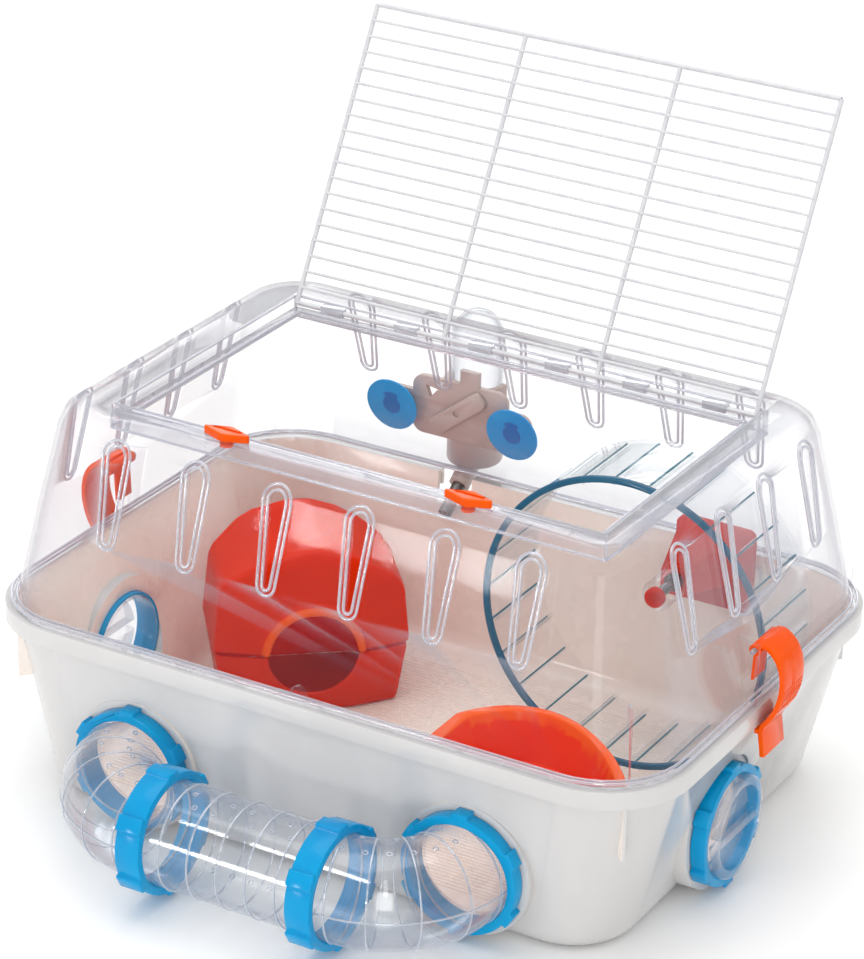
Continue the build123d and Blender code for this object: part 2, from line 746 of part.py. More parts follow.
with BuildPart() as food_bowl:
    pan_low = bowl_outline(BOWL_LOW, BOWL_FOOT_SCALE)
    pan_high = bowl_outline(BOWL_LIP_LOW + 1, BOWL_NECK_SCALE)
    loft(sections=[pan_low, pan_high], ruled=True)
    add(bowl_outline(BOWL_LIP_LOW, 1.0))
    extrude(amount=BOWL_TOP - BOWL_LIP_LOW)
    add(bowl_hollow.part, mode=Mode.SUBTRACT)
save(food_bowl.part, "food_bowl")

# ---------------------------------------------------------------- drinker
SLOPE = math.radians(36.5)
DRINK_DIR = Vector(0, -math.cos(SLOPE), -math.sin(SLOPE))
DRINK_AT = Vector(BOTTLE_AT[0], BOTTLE_AT[1], 112.0)
BOTTLE_LOW = 112.0
BOTTLE_HIGH = 203.0
CAP_LOW = 108.6
CAP_HIGH = 127.0
NOZZLE_END = 42.0


def drink_plane(along):
    """A plane square to the nozzle, this far along it from the bottle's axis."""
    return Plane(DRINK_AT + DRINK_DIR * along, x_dir=(1, 0, 0), z_dir=DRINK_DIR)


bottle_axis = Plane((BOTTLE_AT[0], BOTTLE_AT[1], 0), x_dir=(1, 0, 0), z_dir=(0, -1, 0))
with BuildPart() as bottle:
    with BuildSketch(bottle_axis):
        with BuildLine():
            Polyline((0, 112.2), (12.6, 112.2), (12.6, 127.4), (BOTTLE_R, 130.4), (BOTTLE_R, 186))
            Spline((BOTTLE_R, 186), (11.6, 197.5), (0, BOTTLE_HIGH), tangents=((0, 1), (-1, 0)))
            Line((0, BOTTLE_HIGH), (0, 112.2))
        make_face()
        with BuildLine():
            Polyline((0, 111), (11.4, 111), (11.4, 128), (BOTTLE_R - 1.2, 131), (BOTTLE_R - 1.2, 186))
            Spline((BOTTLE_R - 1.2, 186), (10.6, 196.5), (0, BOTTLE_HIGH - 1.2), tangents=((0, 1), (-1, 0)))
            Line((0, BOTTLE_HIGH - 1.2), (0, 111))
        make_face(mode=Mode.SUBTRACT)
    revolve(axis=Axis((BOTTLE_AT[0], BOTTLE_AT[1], 0), (0, 0, 1)))
save(bottle.part, "bottle")

with BuildPart() as bottle_cap:
    with BuildSketch(Plane((BOTTLE_AT[0], BOTTLE_AT[1], CAP_LOW))):
        Circle(16.4)
    extrude(amount=CAP_HIGH - CAP_LOW)
    fillet(bottle_cap.edges().group_by(Axis.Z)[0], radius=3.0)
    with BuildSketch(drink_plane(4.0)):
        Circle(6.2)
    extrude(amount=18.0)
    with BuildSketch(Plane((BOTTLE_AT[0], BOTTLE_AT[1], BOTTLE_LOW))):
        Circle(12.7)
    extrude(amount=40, mode=Mode.SUBTRACT)
    with BuildSketch(drink_plane(2.0)):
        Circle(4.0)
    extrude(amount=30.0, mode=Mode.SUBTRACT)
save(bottle_cap.part, "bottle_cap")

with BuildPart() as bottle_nozzle:
    with BuildSketch(drink_plane(15.0)):
        Circle(4.0)
        Circle(3.3, mode=Mode.SUBTRACT)
    extrude(amount=NOZZLE_END - 15.0)
    with BuildSketch(drink_plane(NOZZLE_END - 0.8)):
        Circle(4.0)
        Circle(2.7, mode=Mode.SUBTRACT)
    extrude(amount=0.8)
save(bottle_nozzle.part, "bottle_nozzle")

BALL_R = 3.1
with BuildPart() as nozzle_ball:
    with Locations(DRINK_AT + DRINK_DIR * (NOZZLE_END - 2.5)):
        Sphere(BALL_R)
save(nozzle_ball.part, "nozzle_ball")

HOLDER_FACE = 143.4
HOLDER_THICK = 3.2
EAR_Z = CUP_Z + 1.6
COLLAR_LOW = 149.0
COLLAR_HIGH = 160.0
holder_face = Plane.XZ.offset(-HOLDER_FACE - HOLDER_THICK)
with BuildPart() as bottle_holder:
    with BuildSketch(holder_face):
        with Locations((BOTTLE_AT[0], 145.5)):
            RectangleRounded(62, 36, 7)
        with Locations(((CUP_X[0] + CUP_X[1]) / 2, EAR_Z)):
            RectangleRounded(CUP_X[1] - CUP_X[0] + 16, 16, 7.5)
        with Locations((BOTTLE_AT[0] + 6, 166)):
            Rectangle(12, 12)
        with Locations((CUP_X[0], EAR_Z), (CUP_X[1], EAR_Z)):
            Circle(4.2, mode=Mode.SUBTRACT)
        with Locations(LEVER_AT):
            Circle(2.0, mode=Mode.SUBTRACT)
        with Locations((LEVER_AT[0] - 19, LEVER_AT[1] + 9)):
            RegularPolygon(4.6, 3, rotation=20, mode=Mode.SUBTRACT)
    extrude(amount=HOLDER_THICK)
    collar_x, collar_y = BOTTLE_AT
    with BuildSketch(Plane.XY.offset(COLLAR_LOW)):
        with Locations((collar_x, collar_y)):
            Circle(BOTTLE_R + 3.4)
        with Locations((collar_x, collar_y + 10)):
            Rectangle(2 * BOTTLE_R + 8, 20, mode=Mode.SUBTRACT)
        with Locations((collar_x - BOTTLE_R - 1.9, collar_y + 0.9), (collar_x + BOTTLE_R + 1.9, collar_y + 0.9)):
            Rectangle(3.0, 2.4)
        with Locations((collar_x, collar_y)):
            Circle(BOTTLE_R + 0.4, mode=Mode.SUBTRACT)
    extrude(amount=COLLAR_HIGH - COLLAR_LOW)
save(bottle_holder.part, "bottle_holder")

LEVER_FRONT = 139.4
with BuildPart() as holder_lever:
    with BuildSketch(Plane.XZ.offset(-HOLDER_FACE + 0.4)):
        with Locations(LEVER_AT):
            RectangleRounded(40, 10.6, 3.0, rotation=38)
            Circle(2.06, mode=Mode.SUBTRACT)
    extrude(amount=HOLDER_FACE - 0.4 - LEVER_FRONT)
save(holder_lever.part, "holder_lever")

with BuildPart() as lever_pin:
    with BuildSketch(Plane.XZ.offset(-HOLDER_FACE - HOLDER_THICK)):
        with Locations(LEVER_AT):
            Circle(2.0)
    extrude(amount=HOLDER_THICK + 2.8)
save(lever_pin.part, "lever_pin")

wall_lean = math.atan2(9.0, 50.0)
cup_wall_y = 142.0 - (CUP_Z - COVER_SEAT) * 9.0 / 50.0 + 0.25
for cup_x, (side, sign) in zip(CUP_X, SIDES):
    cup_foot = Vector(cup_x, cup_wall_y, CUP_Z)
    cup_dir = Vector(0, math.cos(wall_lean), math.sin(wall_lean))
    profile_plane = Plane(cup_foot, x_dir=(1, 0, 0), z_dir=Vector(1, 0, 0).cross(cup_dir))
    with BuildPart() as cup:
        with BuildSketch(profile_plane):
            with BuildLine():
                Polyline((0, 0), (16.4, 0), (16.4, 0.9))
                Spline((16.4, 0.9), (10.5, 2.6), (5.2, 5.2))
                Polyline((5.2, 5.2), (3.0, 5.8), (3.0, 12.0), (5.4, 12.0), (5.4, 13.8), (0, 13.8), (0, 0))
            make_face()
        revolve(axis=Axis(cup_foot, cup_dir))
    save(cup.part, f"suction_cup_{side}")
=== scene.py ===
import json
import logging
import math
from dataclasses import dataclass
from enum import Enum
from typing import Any, Sequence

import bmesh
import bpy
from mathutils import Matrix, Vector
from mathutils.geometry import convex_hull_2d


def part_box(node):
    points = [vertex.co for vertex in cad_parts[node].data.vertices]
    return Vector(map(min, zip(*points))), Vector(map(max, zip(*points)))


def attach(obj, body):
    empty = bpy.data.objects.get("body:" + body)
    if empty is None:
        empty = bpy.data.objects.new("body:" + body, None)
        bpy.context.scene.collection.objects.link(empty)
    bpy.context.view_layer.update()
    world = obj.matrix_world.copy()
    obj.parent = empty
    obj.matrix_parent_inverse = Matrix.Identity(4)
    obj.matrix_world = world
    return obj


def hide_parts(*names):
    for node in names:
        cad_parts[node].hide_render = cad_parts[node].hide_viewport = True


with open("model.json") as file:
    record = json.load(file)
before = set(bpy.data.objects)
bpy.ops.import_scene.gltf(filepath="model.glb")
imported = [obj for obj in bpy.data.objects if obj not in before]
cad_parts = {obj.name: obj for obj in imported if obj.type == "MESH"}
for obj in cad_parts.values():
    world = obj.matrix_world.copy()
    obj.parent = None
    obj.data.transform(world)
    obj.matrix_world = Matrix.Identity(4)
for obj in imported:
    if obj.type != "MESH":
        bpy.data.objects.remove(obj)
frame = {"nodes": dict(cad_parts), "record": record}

MM = 0.001
ROD_TURN = 60.0
Colour = tuple[float, float, float, float]
LOG = logging.getLogger("hamster_cage")
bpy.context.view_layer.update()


# ---------------------------------------------------------------- shared mesh and piece steps
class Side(Enum):
    """The two ends of the cage along X."""

    LEFT = -1
    RIGHT = 1

    @property
    def word(self) -> str:
        """The side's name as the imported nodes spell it."""
        return self.name.lower()


def body_of_node(node: str) -> str:
    """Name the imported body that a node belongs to."""
    bodies = frame["record"]["behaviour"]["bodies"]
    return next(body for body, nodes in bodies.items() if node in nodes)


def shade(mesh: bpy.types.Mesh, sharp_above: float) -> None:
    """Shade a mesh smooth, with hard edges where its faces turn more than an angle."""
    mesh.shade_smooth()
    mesh.set_sharp_from_angle(angle=math.radians(sharp_above))


def add_piece(
    name: str, mesh: bpy.types.Mesh, body: str, replaces: Sequence[str] = (),
) -> bpy.types.Object:
    """Put a finished mesh in the scene as one piece of the cage.

    Args:
        name: the piece's name.
        mesh: its mesh, already in place.
        body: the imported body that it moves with.
        replaces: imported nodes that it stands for.

    Returns:
        The new object.
    """
    mesh.name = name
    obj = bpy.data.objects.new(name, mesh)
    bpy.context.scene.collection.objects.link(obj)
    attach(obj, body)
    if replaces:
        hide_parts(*replaces)
    LOG.info("piece %s: %d faces on body %s", name, len(mesh.polygons), body)
    return obj


def evaluated_copy(obj: bpy.types.Object) -> bpy.types.Mesh:
    """Take an object's mesh with its modifiers applied, and remove the object.

    Args:
        obj: a scratch object with its modifiers set.

    Returns:
        A plain mesh.
    """
    bpy.context.view_layer.update()
    graph = bpy.context.evaluated_depsgraph_get()
    mesh = bpy.data.meshes.new_from_object(obj.evaluated_get(graph), depsgraph=graph)
    obj.modifiers.clear()
    bpy.data.objects.remove(obj, do_unlink=True)
    return mesh


def scratch(name: str, mesh: bpy.types.Mesh) -> bpy.types.Object:
    """Link a scratch object for a mesh.

    Args:
        name: the object's name.
        mesh: the mesh it shows.

    Returns:
        The linked object.
    """
    obj = bpy.data.objects.new(name, mesh)
    bpy.context.scene.collection.objects.link(obj)
    return obj


def softened(node: str, round_edge: float, corner: float = 32.0, steps: int = 2) -> bpy.types.Mesh:
    """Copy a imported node's mesh, join its loose triangles and round its hard edges.

    Args:
        node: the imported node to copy.
        round_edge: width of the rounding in millimetres, or 0 for none.
        corner: the turn in degrees above which an edge is rounded.
        steps: segments across each rounding.

    Returns:
        A plain mesh with smooth shading.
    """
    mesh = frame["nodes"][node].data.copy()
    mesh.materials.clear()
    shell = bmesh.new()
    shell.from_mesh(mesh)
    bmesh.ops.remove_doubles(shell, verts=shell.verts, dist=1e-6)
    bmesh.ops.dissolve_limit(shell, angle_limit=math.radians(0.4), verts=shell.verts, edges=shell.edges)
    shell.to_mesh(mesh)
    shell.free()
    if round_edge:
        work = scratch(node + "_work", mesh)
        bevel = work.modifiers.new("Round", "BEVEL")
        bevel.width = round_edge * MM
        bevel.segments = steps
        bevel.limit_method = "ANGLE"
        bevel.angle_limit = math.radians(corner)
        mesh = evaluated_copy(work)
    shade(mesh, corner)
    return mesh


def remoulded(node: str, cell: float, passes: int) -> bpy.types.Mesh:
    """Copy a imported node's mesh on an even grid and ease it, so that its facets run together.

    Args:
        node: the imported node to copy.
        cell: the grid's cell in millimetres.
        passes: how many times the surface is eased.

    Returns:
        A plain mesh with smooth shading.
    """
    work = scratch(node + "_work", softened(node, 0.0))
    grid = work.modifiers.new("Grid", "REMESH")
    grid.mode = "VOXEL"
    grid.voxel_size = cell * MM
    ease = work.modifiers.new("Ease", "SMOOTH")
    ease.factor = 0.5
    ease.iterations = passes
    mesh = evaluated_copy(work)
    mesh.shade_smooth()
    return mesh


# ---------------------------------------------------------------- geometry node trees
def set_up(
    node: bpy.types.Node, links: Any, inputs: dict[Any, Any] | None, settings: dict[str, Any],
) -> bpy.types.Node:
    """Set a new node's properties, and wire or set its inputs.

    Args:
        node: the node.
        links: the links of the tree that it is in.
        inputs: input name or number to a socket or a plain value.
        settings: properties of the node itself.

    Returns:
        The node.
    """
    for key, value in settings.items():
        setattr(node, key, value)
    for key, value in (inputs or {}).items():
        if isinstance(value, bpy.types.NodeSocket):
            links.new(value, node.inputs[key])
        else:
            node.inputs[key].default_value = value
    return node


class Tree:
    """A geometry node tree under construction, with named inputs for its sizes."""

    def __init__(self, name: str) -> None:
        """Start an empty tree.

        Args:
            name: the tree's name.
        """
        self.group = bpy.data.node_groups.new(name, "GeometryNodeTree")
        self.group.interface.new_socket("Geometry", in_out="INPUT", socket_type="NodeSocketGeometry")
        self.group.interface.new_socket("Geometry", in_out="OUTPUT", socket_type="NodeSocketGeometry")
        self.entry = self.group.nodes.new("NodeGroupInput")
        self.exit = self.group.nodes.new("NodeGroupOutput")

    def size(self, name: str, kind: str = "Float") -> bpy.types.NodeSocket:
        """Declare a named input."""
        self.group.interface.new_socket(name, in_out="INPUT", socket_type="NodeSocket" + kind)
        return self.entry.outputs[name]

    @property
    def incoming(self) -> bpy.types.NodeSocket:
        """The geometry of the object that the tree works on."""
        return self.entry.outputs["Geometry"]

    def add(self, kind: str, inputs: dict[Any, Any] | None = None, **settings: Any) -> bpy.types.Node:
        """Add a node and wire or set its inputs."""
        full = kind if kind.startswith(("Shader", "Function")) else "GeometryNode" + kind
        return set_up(self.group.nodes.new(full), self.group.links, inputs, settings)

    def times(self, a: Any, b: Any) -> bpy.types.NodeSocket:
        """Multiply two numbers or number sockets."""
        return self.add("ShaderNodeMath", {0: a, 1: b}, operation="MULTIPLY").outputs[0]

    def vector(self, x: Any = 0.0, y: Any = 0.0, z: Any = 0.0) -> bpy.types.NodeSocket:
        """Join three numbers or number sockets into a vector."""
        return self.add("ShaderNodeCombineXYZ", {0: x, 1: y, 2: z}).outputs[0]

    def round_rod(self, route: bpy.types.NodeSocket, radius: bpy.types.NodeSocket, facets: int) -> bpy.types.NodeSocket:
        """Run a capped round rod along a curve.

        Args:
            route: the curve.
            radius: the rod's radius.
            facets: how many sides the rod has.

        Returns:
            The rod.
        """
        profile = self.add("CurvePrimitiveCircle", {"Resolution": facets, "Radius": radius})
        inputs = {"Curve": route, "Profile Curve": profile.outputs[0], "Fill Caps": True}
        return self.add("CurveToMesh", inputs).outputs[0]

    def stand(
        self, shape: bpy.types.NodeSocket, points: bpy.types.NodeSocket, turn: Any = None,
    ) -> bpy.types.NodeSocket:
        """Stand a shape on points.

        Args:
            shape: the shape.
            points: the points.
            turn: its rotation, if any.

        Returns:
            The placed shapes.
        """
        inputs = {"Points": points, "Instance": shape}
        if turn is not None:
            inputs["Rotation"] = turn
        return self.add("InstanceOnPoints", inputs).outputs[0]

    def row(self, count: Any, start: Any, offset: bpy.types.NodeSocket) -> bpy.types.NodeSocket:
        """Set points in a row."""
        return self.add("MeshLine", {"Count": count, "Start Location": start, "Offset": offset}).outputs[0]

    def close(self, *shapes: bpy.types.NodeSocket) -> None:
        """Join the shapes, realize their instances and give them the tree's material.

        Args:
            shapes: geometry sockets that make up the result.
        """
        material = self.size("Finish", "Material")
        join = self.add("JoinGeometry")
        for shape in shapes:
            self.group.links.new(shape, join.inputs[0])
        real = self.add("RealizeInstances", {0: join.outputs[0]})
        dressed = self.add("SetMaterial", {"Geometry": real.outputs[0], "Material": material})
        self.group.links.new(dressed.outputs[0], self.exit.inputs[0])

    def bake(self, host: bpy.types.Mesh, sizes: dict[str, Any], finish: bpy.types.Material) -> bpy.types.Mesh:
        """Run the tree on a host mesh and keep the result as a plain mesh.

        Args:
            host: the mesh that the tree works on.
            sizes: input name to value.
            finish: material for every face.

        Returns:
            The plain mesh.
        """
        work = scratch(self.group.name + "_work", host)
        run = work.modifiers.new("Shape", "NODES")
        run.node_group = self.group
        items = self.group.interface.items_tree
        sockets = {item.name: item.identifier for item in items if item.in_out == "INPUT"}
        for name, value in {**sizes, "Finish": finish}.items():
            run[sockets[name]] = value
        mesh = evaluated_copy(work)
        if finish.name not in [m.name for m in mesh.materials if m]:
            mesh.materials.clear()
            mesh.materials.append(finish)
        return mesh


def lines_mesh(lines: Sequence[Sequence[Vector]]) -> bpy.types.Mesh:
    """Make one mesh of several separate open lines.

    Args:
        lines: each line's points in order.

    Returns:
        The mesh.
    """
    points: list[tuple[float, float, float]] = []
    edges: list[tuple[int, int]] = []
    for line in lines:
        first = len(points)
        points.extend(tuple(point) for point in line)
        edges.extend((first + i, first + i + 1) for i in range(len(line) - 1))
    mesh = bpy.data.meshes.new("lines")
    mesh.from_pydata(points, edges, [])
    return mesh


def blank_mesh() -> bpy.types.Mesh:
    """Make the short line that hosts a tree which uses only its sizes."""
    return lines_mesh([[Vector(), Vector((MM, 0, 0))]])


def spots_mesh(spots: Sequence[tuple[Vector, Vector]]) -> bpy.types.Mesh:
    """Make a mesh of loose points that carry the direction that each one faces.

    Args:
        spots: pairs of place and outward direction.

    Returns:
        The mesh, with the attribute "outward".
    """
    mesh = bpy.data.meshes.new("spots")
    mesh.from_pydata([tuple(place) for place, _ in spots], [], [])
    outward = mesh.attributes.new("outward", "FLOAT_VECTOR", "POINT")
    for index, (_, facing) in enumerate(spots):
        outward.data[index].vector = facing
    return mesh


def hoop_tree() -> Tree:
    """Build the tree that sets hoops of thin round rod square to a line, at even steps along it.

    Returns:
        The tree; its host is a line mesh.
    """
    tree = Tree("hoops_along_line")
    hoop_r, rod_r, count = tree.size("Hoop Radius"), tree.size("Rod Radius"), tree.size("Count", "Int")
    route = tree.add("MeshToCurve", {"Mesh": tree.incoming})
    spread = tree.add("ResampleCurve", {"Curve": route.outputs[0], "Count": count})
    tangent = tree.add("InputTangent")
    turn = tree.add("FunctionNodeAlignRotationToVector", {"Vector": tangent.outputs[0]}, axis="Z")
    hoop = tree.add("CurvePrimitiveCircle", {"Resolution": 56, "Radius": hoop_r})
    rod = tree.add("CurvePrimitiveCircle", {"Resolution": 6, "Radius": rod_r})
    skin = tree.add("CurveToMesh", {"Curve": hoop.outputs[0], "Profile Curve": rod.outputs[0]})
    tree.close(tree.stand(skin.outputs[0], spread.outputs[0], turn.outputs[0]))
    return tree


def rod_tree() -> Tree:
    """Build the tree that runs a round rod along a line.

    Returns:
        The tree; its host is a line mesh.
    """
    tree = Tree("rod_along_line")
    rod_r = tree.size("Rod Radius")
    route = tree.add("MeshToCurve", {"Mesh": tree.incoming})
    tree.close(tree.round_rod(route.outputs[0], rod_r, 8))
    return tree


def eyelet_tree() -> Tree:
    """Build the tree that sets a small moulded eyelet on each marked spot.

    Returns:
        The tree; its host is a mesh of spots with the attribute "outward".
    """
    tree = Tree("eyelets_on_spots")
    hole_r, lip_r = tree.size("Hole Radius"), tree.size("Lip Radius")
    facing = tree.add("InputNamedAttribute", {"Name": "outward"}, data_type="FLOAT_VECTOR")
    turn = tree.add("FunctionNodeAlignRotationToVector", {"Vector": facing.outputs[0]}, axis="Z")
    hoop = tree.add("CurvePrimitiveCircle", {"Resolution": 14, "Radius": hole_r})
    lip = tree.add("CurvePrimitiveCircle", {"Resolution": 6, "Radius": lip_r})
    skin = tree.add("CurveToMesh", {"Curve": hoop.outputs[0], "Profile Curve": lip.outputs[0]})
    tree.close(tree.stand(skin.outputs[0], tree.incoming, turn.outputs[0]))
    return tree


def bar_ring_tree() -> Tree:
    """Build the tree that sets flat bars evenly around an axis along Y.

    Returns:
        The tree; its host may be any mesh, since only its sizes are used.
    """
    tree = Tree("bars_round_axis")
    count, radius = tree.size("Count", "Int"), tree.size("Radius")
    bar, centre = tree.size("Bar Size", "Vector"), tree.size("Centre", "Vector")
    circle = tree.add("MeshCircle", {"Vertices": count, "Radius": radius})
    spots = tree.add("MeshToPoints", {"Mesh": circle.outputs[0]})
    place = tree.add("InputPosition")
    turn = tree.add("FunctionNodeAlignRotationToVector", {"Vector": place.outputs[0]}, axis="X")
    box = tree.add("MeshCube", {"Size": bar})
    placed = tree.stand(box.outputs[0], spots.outputs[0], turn.outputs[0])
    upright = tree.add(
        "Transform",
        {"Geometry": placed, "Translation": centre, "Rotation": (math.pi / 2, 0.0, 0.0)},
    )
    tree.close(upright.outputs[0])
    return tree


def wire_lid_tree() -> Tree:
    """Build the tree of the whole wire lid: cross wires at an even pitch on four long rods.

    Returns:
        The tree; its host may be any mesh, since only its sizes are used.
    """
    tree = Tree("wire_lid")
    reach, half, gaps = tree.size("Reach"), tree.size("Half Width"), tree.size("Gaps", "Int")
    wire_r, rod_r, proud = tree.size("Wire Radius"), tree.size("Rod Radius"), tree.size("Wire Offset")
    hinge, lean = tree.size("Hinge", "Vector"), tree.size("Lean")
    pitch = tree.add("ShaderNodeMath", {0: reach, 1: gaps}, operation="DIVIDE").outputs[0]
    rows = tree.add("ShaderNodeMath", {0: gaps, 1: 1.0}, operation="ADD").outputs[0]
    lower = tree.times(half, -1.0)
    column = tree.row(rows, tree.vector(0.0, 0.0, proud), tree.vector(0.0, pitch))
    across = tree.add("CurvePrimitiveLine", {"Start": tree.vector(lower), "End": tree.vector(half)}).outputs[0]
    wires = tree.stand(tree.round_rod(across, wire_r, 8), column)
    third = tree.times(half, 2.0 / 3.0)
    columns = tree.row(4, tree.vector(lower), tree.vector(third))
    along = tree.add("CurvePrimitiveLine", {"Start": (0.0, 0.0, 0.0), "End": tree.vector(0.0, reach)}).outputs[0]
    rods = tree.stand(tree.round_rod(along, rod_r, 10), columns)
    ends = tree.row(2, (0.0, 0.0, 0.0), tree.vector(0.0, reach))
    edges = tree.stand(tree.round_rod(across, rod_r, 10), ends)
    join = tree.add("JoinGeometry")
    for shape in (wires, rods, edges):
        tree.group.links.new(shape, join.inputs[0])
    stood = tree.add(
        "Transform",
        {"Geometry": join.outputs[0], "Translation": hinge, "Rotation": tree.vector(lean)},
    )
    tree.close(stood.outputs[0])
    return tree


def loop_points(half_x: float, half_y: float, corner: float, z: float, steps: int = 10) -> list[Vector]:
    """Trace a closed rounded rectangle round the middle of the cage.

    Args:
        half_x: half its length in millimetres.
        half_y: half its width in millimetres.
        corner: its corner radius.
        z: its height.
        steps: segments in each corner.

    Returns:
        The loop's points in metres, ending where it starts.
    """
    points: list[Vector] = []
    for quarter, (sx, sy) in enumerate(((1, 1), (-1, 1), (-1, -1), (1, -1))):
        for step in range(steps + 1):
            turn = math.pi / 2 * (quarter + step / steps)
            x = sx * (half_x - corner) + corner * math.cos(turn)
            y = sy * (half_y - corner) + corner * math.sin(turn)
            points.append(Vector((x, y, z)) * MM)
    points.append(points[0].copy())
    return points


def add_rods(
    name: str, lines: Sequence[Sequence[Vector]], radius: float, finish: bpy.types.Material, body: str,
) -> bpy.types.Object:
    """Make thin rods along several lines as one piece.

    Args:
        name: the piece's name.
        lines: each rod's points in metres.
        radius: the rods' radius in millimetres.
        finish: their material.
        body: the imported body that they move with.

    Returns:
        The new piece.
    """
    mesh = rod_tree().bake(lines_mesh(lines), {"Rod Radius": radius * MM}, finish)
    shade(mesh, ROD_TURN)
    return add_piece(name, mesh, body)


# ---------------------------------------------------------------- finishes
def linear(red: int, green: int, blue: int) -> Colour:
    """Turn an eight-bit screen colour into a scene colour.

    Args:
        red: red from 0 to 255.
        green: green from 0 to 255.
        blue: blue from 0 to 255.

    Returns:
        The colour with alpha 1.
    """
    def one(value: int) -> float:
        part = value / 255.0
        return part / 12.92 if part <= 0.04045 else ((part + 0.055) / 1.055) ** 2.4
    return (one(red), one(green), one(blue), 1.0)


class Wiring:
    """A node material being wired up."""

    def __init__(self, name: str) -> None:
        """Start an empty node material.

        Args:
            name: the material's name.
        """
        self.material = bpy.data.materials.new(name)
        self.material.use_nodes = True
        self.nodes = self.material.node_tree.nodes
        self.nodes.clear()
        self.out = self.nodes.new("ShaderNodeOutputMaterial")
        self.object_coords = self.nodes.new("ShaderNodeTexCoord").outputs["Object"]

    def add(self, kind: str, inputs: dict[Any, Any] | None = None, **settings: Any) -> bpy.types.Node:
        """Add a shader node and wire or set its inputs."""
        return set_up(self.nodes.new("ShaderNode" + kind), self.material.node_tree.links, inputs, settings)

    def noise(
        self, scale: float, detail: float = 3.0, stretch: tuple[float, float, float] = (1, 1, 1),
    ) -> bpy.types.NodeSocket:
        """Sample noise on the object's own coordinates."""
        place = self.add("Mapping", {"Vector": self.object_coords, "Scale": stretch})
        return self.add("TexNoise", {"Vector": place.outputs[0], "Scale": scale, "Detail": detail}).outputs[0]

    def between(self, value: bpy.types.NodeSocket, low: float, high: float) -> bpy.types.NodeSocket:
        """Map a value from 0.3-0.7 to a range."""
        inputs = {"Value": value, "From Min": 0.3, "From Max": 0.7, "To Min": low, "To Max": high}
        return self.add("MapRange", inputs).outputs[0]

    def blend_colour(self, factor: bpy.types.NodeSocket, first: Any, second: Any) -> bpy.types.NodeSocket:
        """Mix two colours by a factor."""
        return self.add("Mix", {0: factor, 6: first, 7: second}, data_type="RGBA").outputs[2]

    def bump(
        self, height: bpy.types.NodeSocket, depth: float, normal: bpy.types.NodeSocket | None = None,
    ) -> bpy.types.NodeSocket:
        """Raise the surface by a height pattern.

        Args:
            height: the pattern.
            depth: its depth in millimetres.
            normal: a normal to add to.

        Returns:
            The bumped normal socket.
        """
        inputs: dict[Any, Any] = {"Height": height, "Distance": depth * MM, "Strength": 1.0}
        if normal is not None:
            inputs["Normal"] = normal
        return self.add("Bump", inputs).outputs[0]

    def finish(self, shader: bpy.types.NodeSocket) -> bpy.types.Material:
        """Send a shader to the output and hand the material over."""
        self.material.node_tree.links.new(shader, self.out.inputs[0])
        return self.material


@dataclass(frozen=True)
class Moulded:
    """Opaque moulded plastic: two close tones in slow flow marks, fine grain and a gloss coat."""

    name: str
    tone: Colour
    shade_tone: Colour
    roughness: float = 0.22
    flow_scale: float = 14.0
    flow_stretch: tuple[float, float, float] = (1.0, 1.0, 0.35)
    grain: float = 0.03
    coat: float = 0.25
    specular: float = 0.5

    def build(self) -> bpy.types.Material:
        """Wire the material and return it."""
        wires = Wiring(self.name)
        flow = wires.noise(self.flow_scale, 5.0, self.flow_stretch)
        colour = wires.blend_colour(wires.between(flow, 0.0, 1.0), self.tone, self.shade_tone)
        fine = wires.noise(900.0, 2.0)
        rough = wires.between(wires.noise(60.0), self.roughness * 0.8, self.roughness * 1.25)
        normal = wires.bump(fine, self.grain, wires.bump(flow, self.grain * 4))
        shader = wires.add("BsdfPrincipled", {
            "Base Color": colour, "Roughness": rough, "Normal": normal,
            "Coat Weight": self.coat, "Coat Roughness": 0.06, "IOR": 1.5, "Specular IOR Level": self.specular,
        })
        return wires.finish(shader.outputs[0])


@dataclass(frozen=True)
class Clear:
    """Clear moulded plastic: see-through film, glossy, with slow ripples, and an opaque grey-white painted in at
    grazing angles for the dark and light lines that refraction draws at its edges.
    """

    name: str
    tint: Colour
    # edge: the painted grey-white that stands in for refraction at grazing angles.
    edge: Colour
    haze: float = 0.006
    painted_edge_weight: float = 0.5
    painted_edge_power: float = 3.5
    ripple: float = 0.04
    gloss: float = 0.8
    face_gloss: float = 0.006
    roughness: float = 0.025

    def build(self) -> bpy.types.Material:
        """Wire the material and return it."""
        wires = Wiring(self.name)
        ripple = wires.bump(wires.noise(26.0, 2.0), self.ripple)
        # Painted light: towards grazing angles the film gives way to the opaque edge colour, standing in for refraction
        # at the edges.
        facing = wires.add("LayerWeight", {"Blend": 0.5, "Normal": ripple}).outputs["Facing"]
        steep = wires.add("Math", {0: facing, 1: self.painted_edge_power}, operation="POWER").outputs[0]
        haze = wires.between(wires.noise(40.0, 4.0), self.haze * 0.6, self.haze * 1.4)
        weight = wires.add(
            "Math", {0: steep, 1: self.painted_edge_weight, 2: haze}, operation="MULTIPLY_ADD", use_clamp=True,
        )
        film = wires.add("BsdfTransparent", {"Color": self.tint})
        body = wires.add("BsdfPrincipled", {"Base Color": self.edge, "Roughness": 0.12, "IOR": 1.5})
        shell = wires.add("MixShader", {0: weight.outputs[0], 1: film.outputs[0], 2: body.outputs[0]})
        graze = wires.add("Math", {0: facing, 1: 5.0}, operation="POWER").outputs[0]
        shine = wires.add("Math", {0: graze, 1: self.gloss, 2: self.face_gloss}, operation="MULTIPLY_ADD")
        gloss = wires.add("BsdfGlossy", {"Color": (1, 1, 1, 1), "Roughness": self.roughness, "Normal": ripple})
        whole = wires.add("MixShader", {0: shine.outputs[0], 1: shell.outputs[0], 2: gloss.outputs[0]})
        return wires.finish(whole.outputs[0])


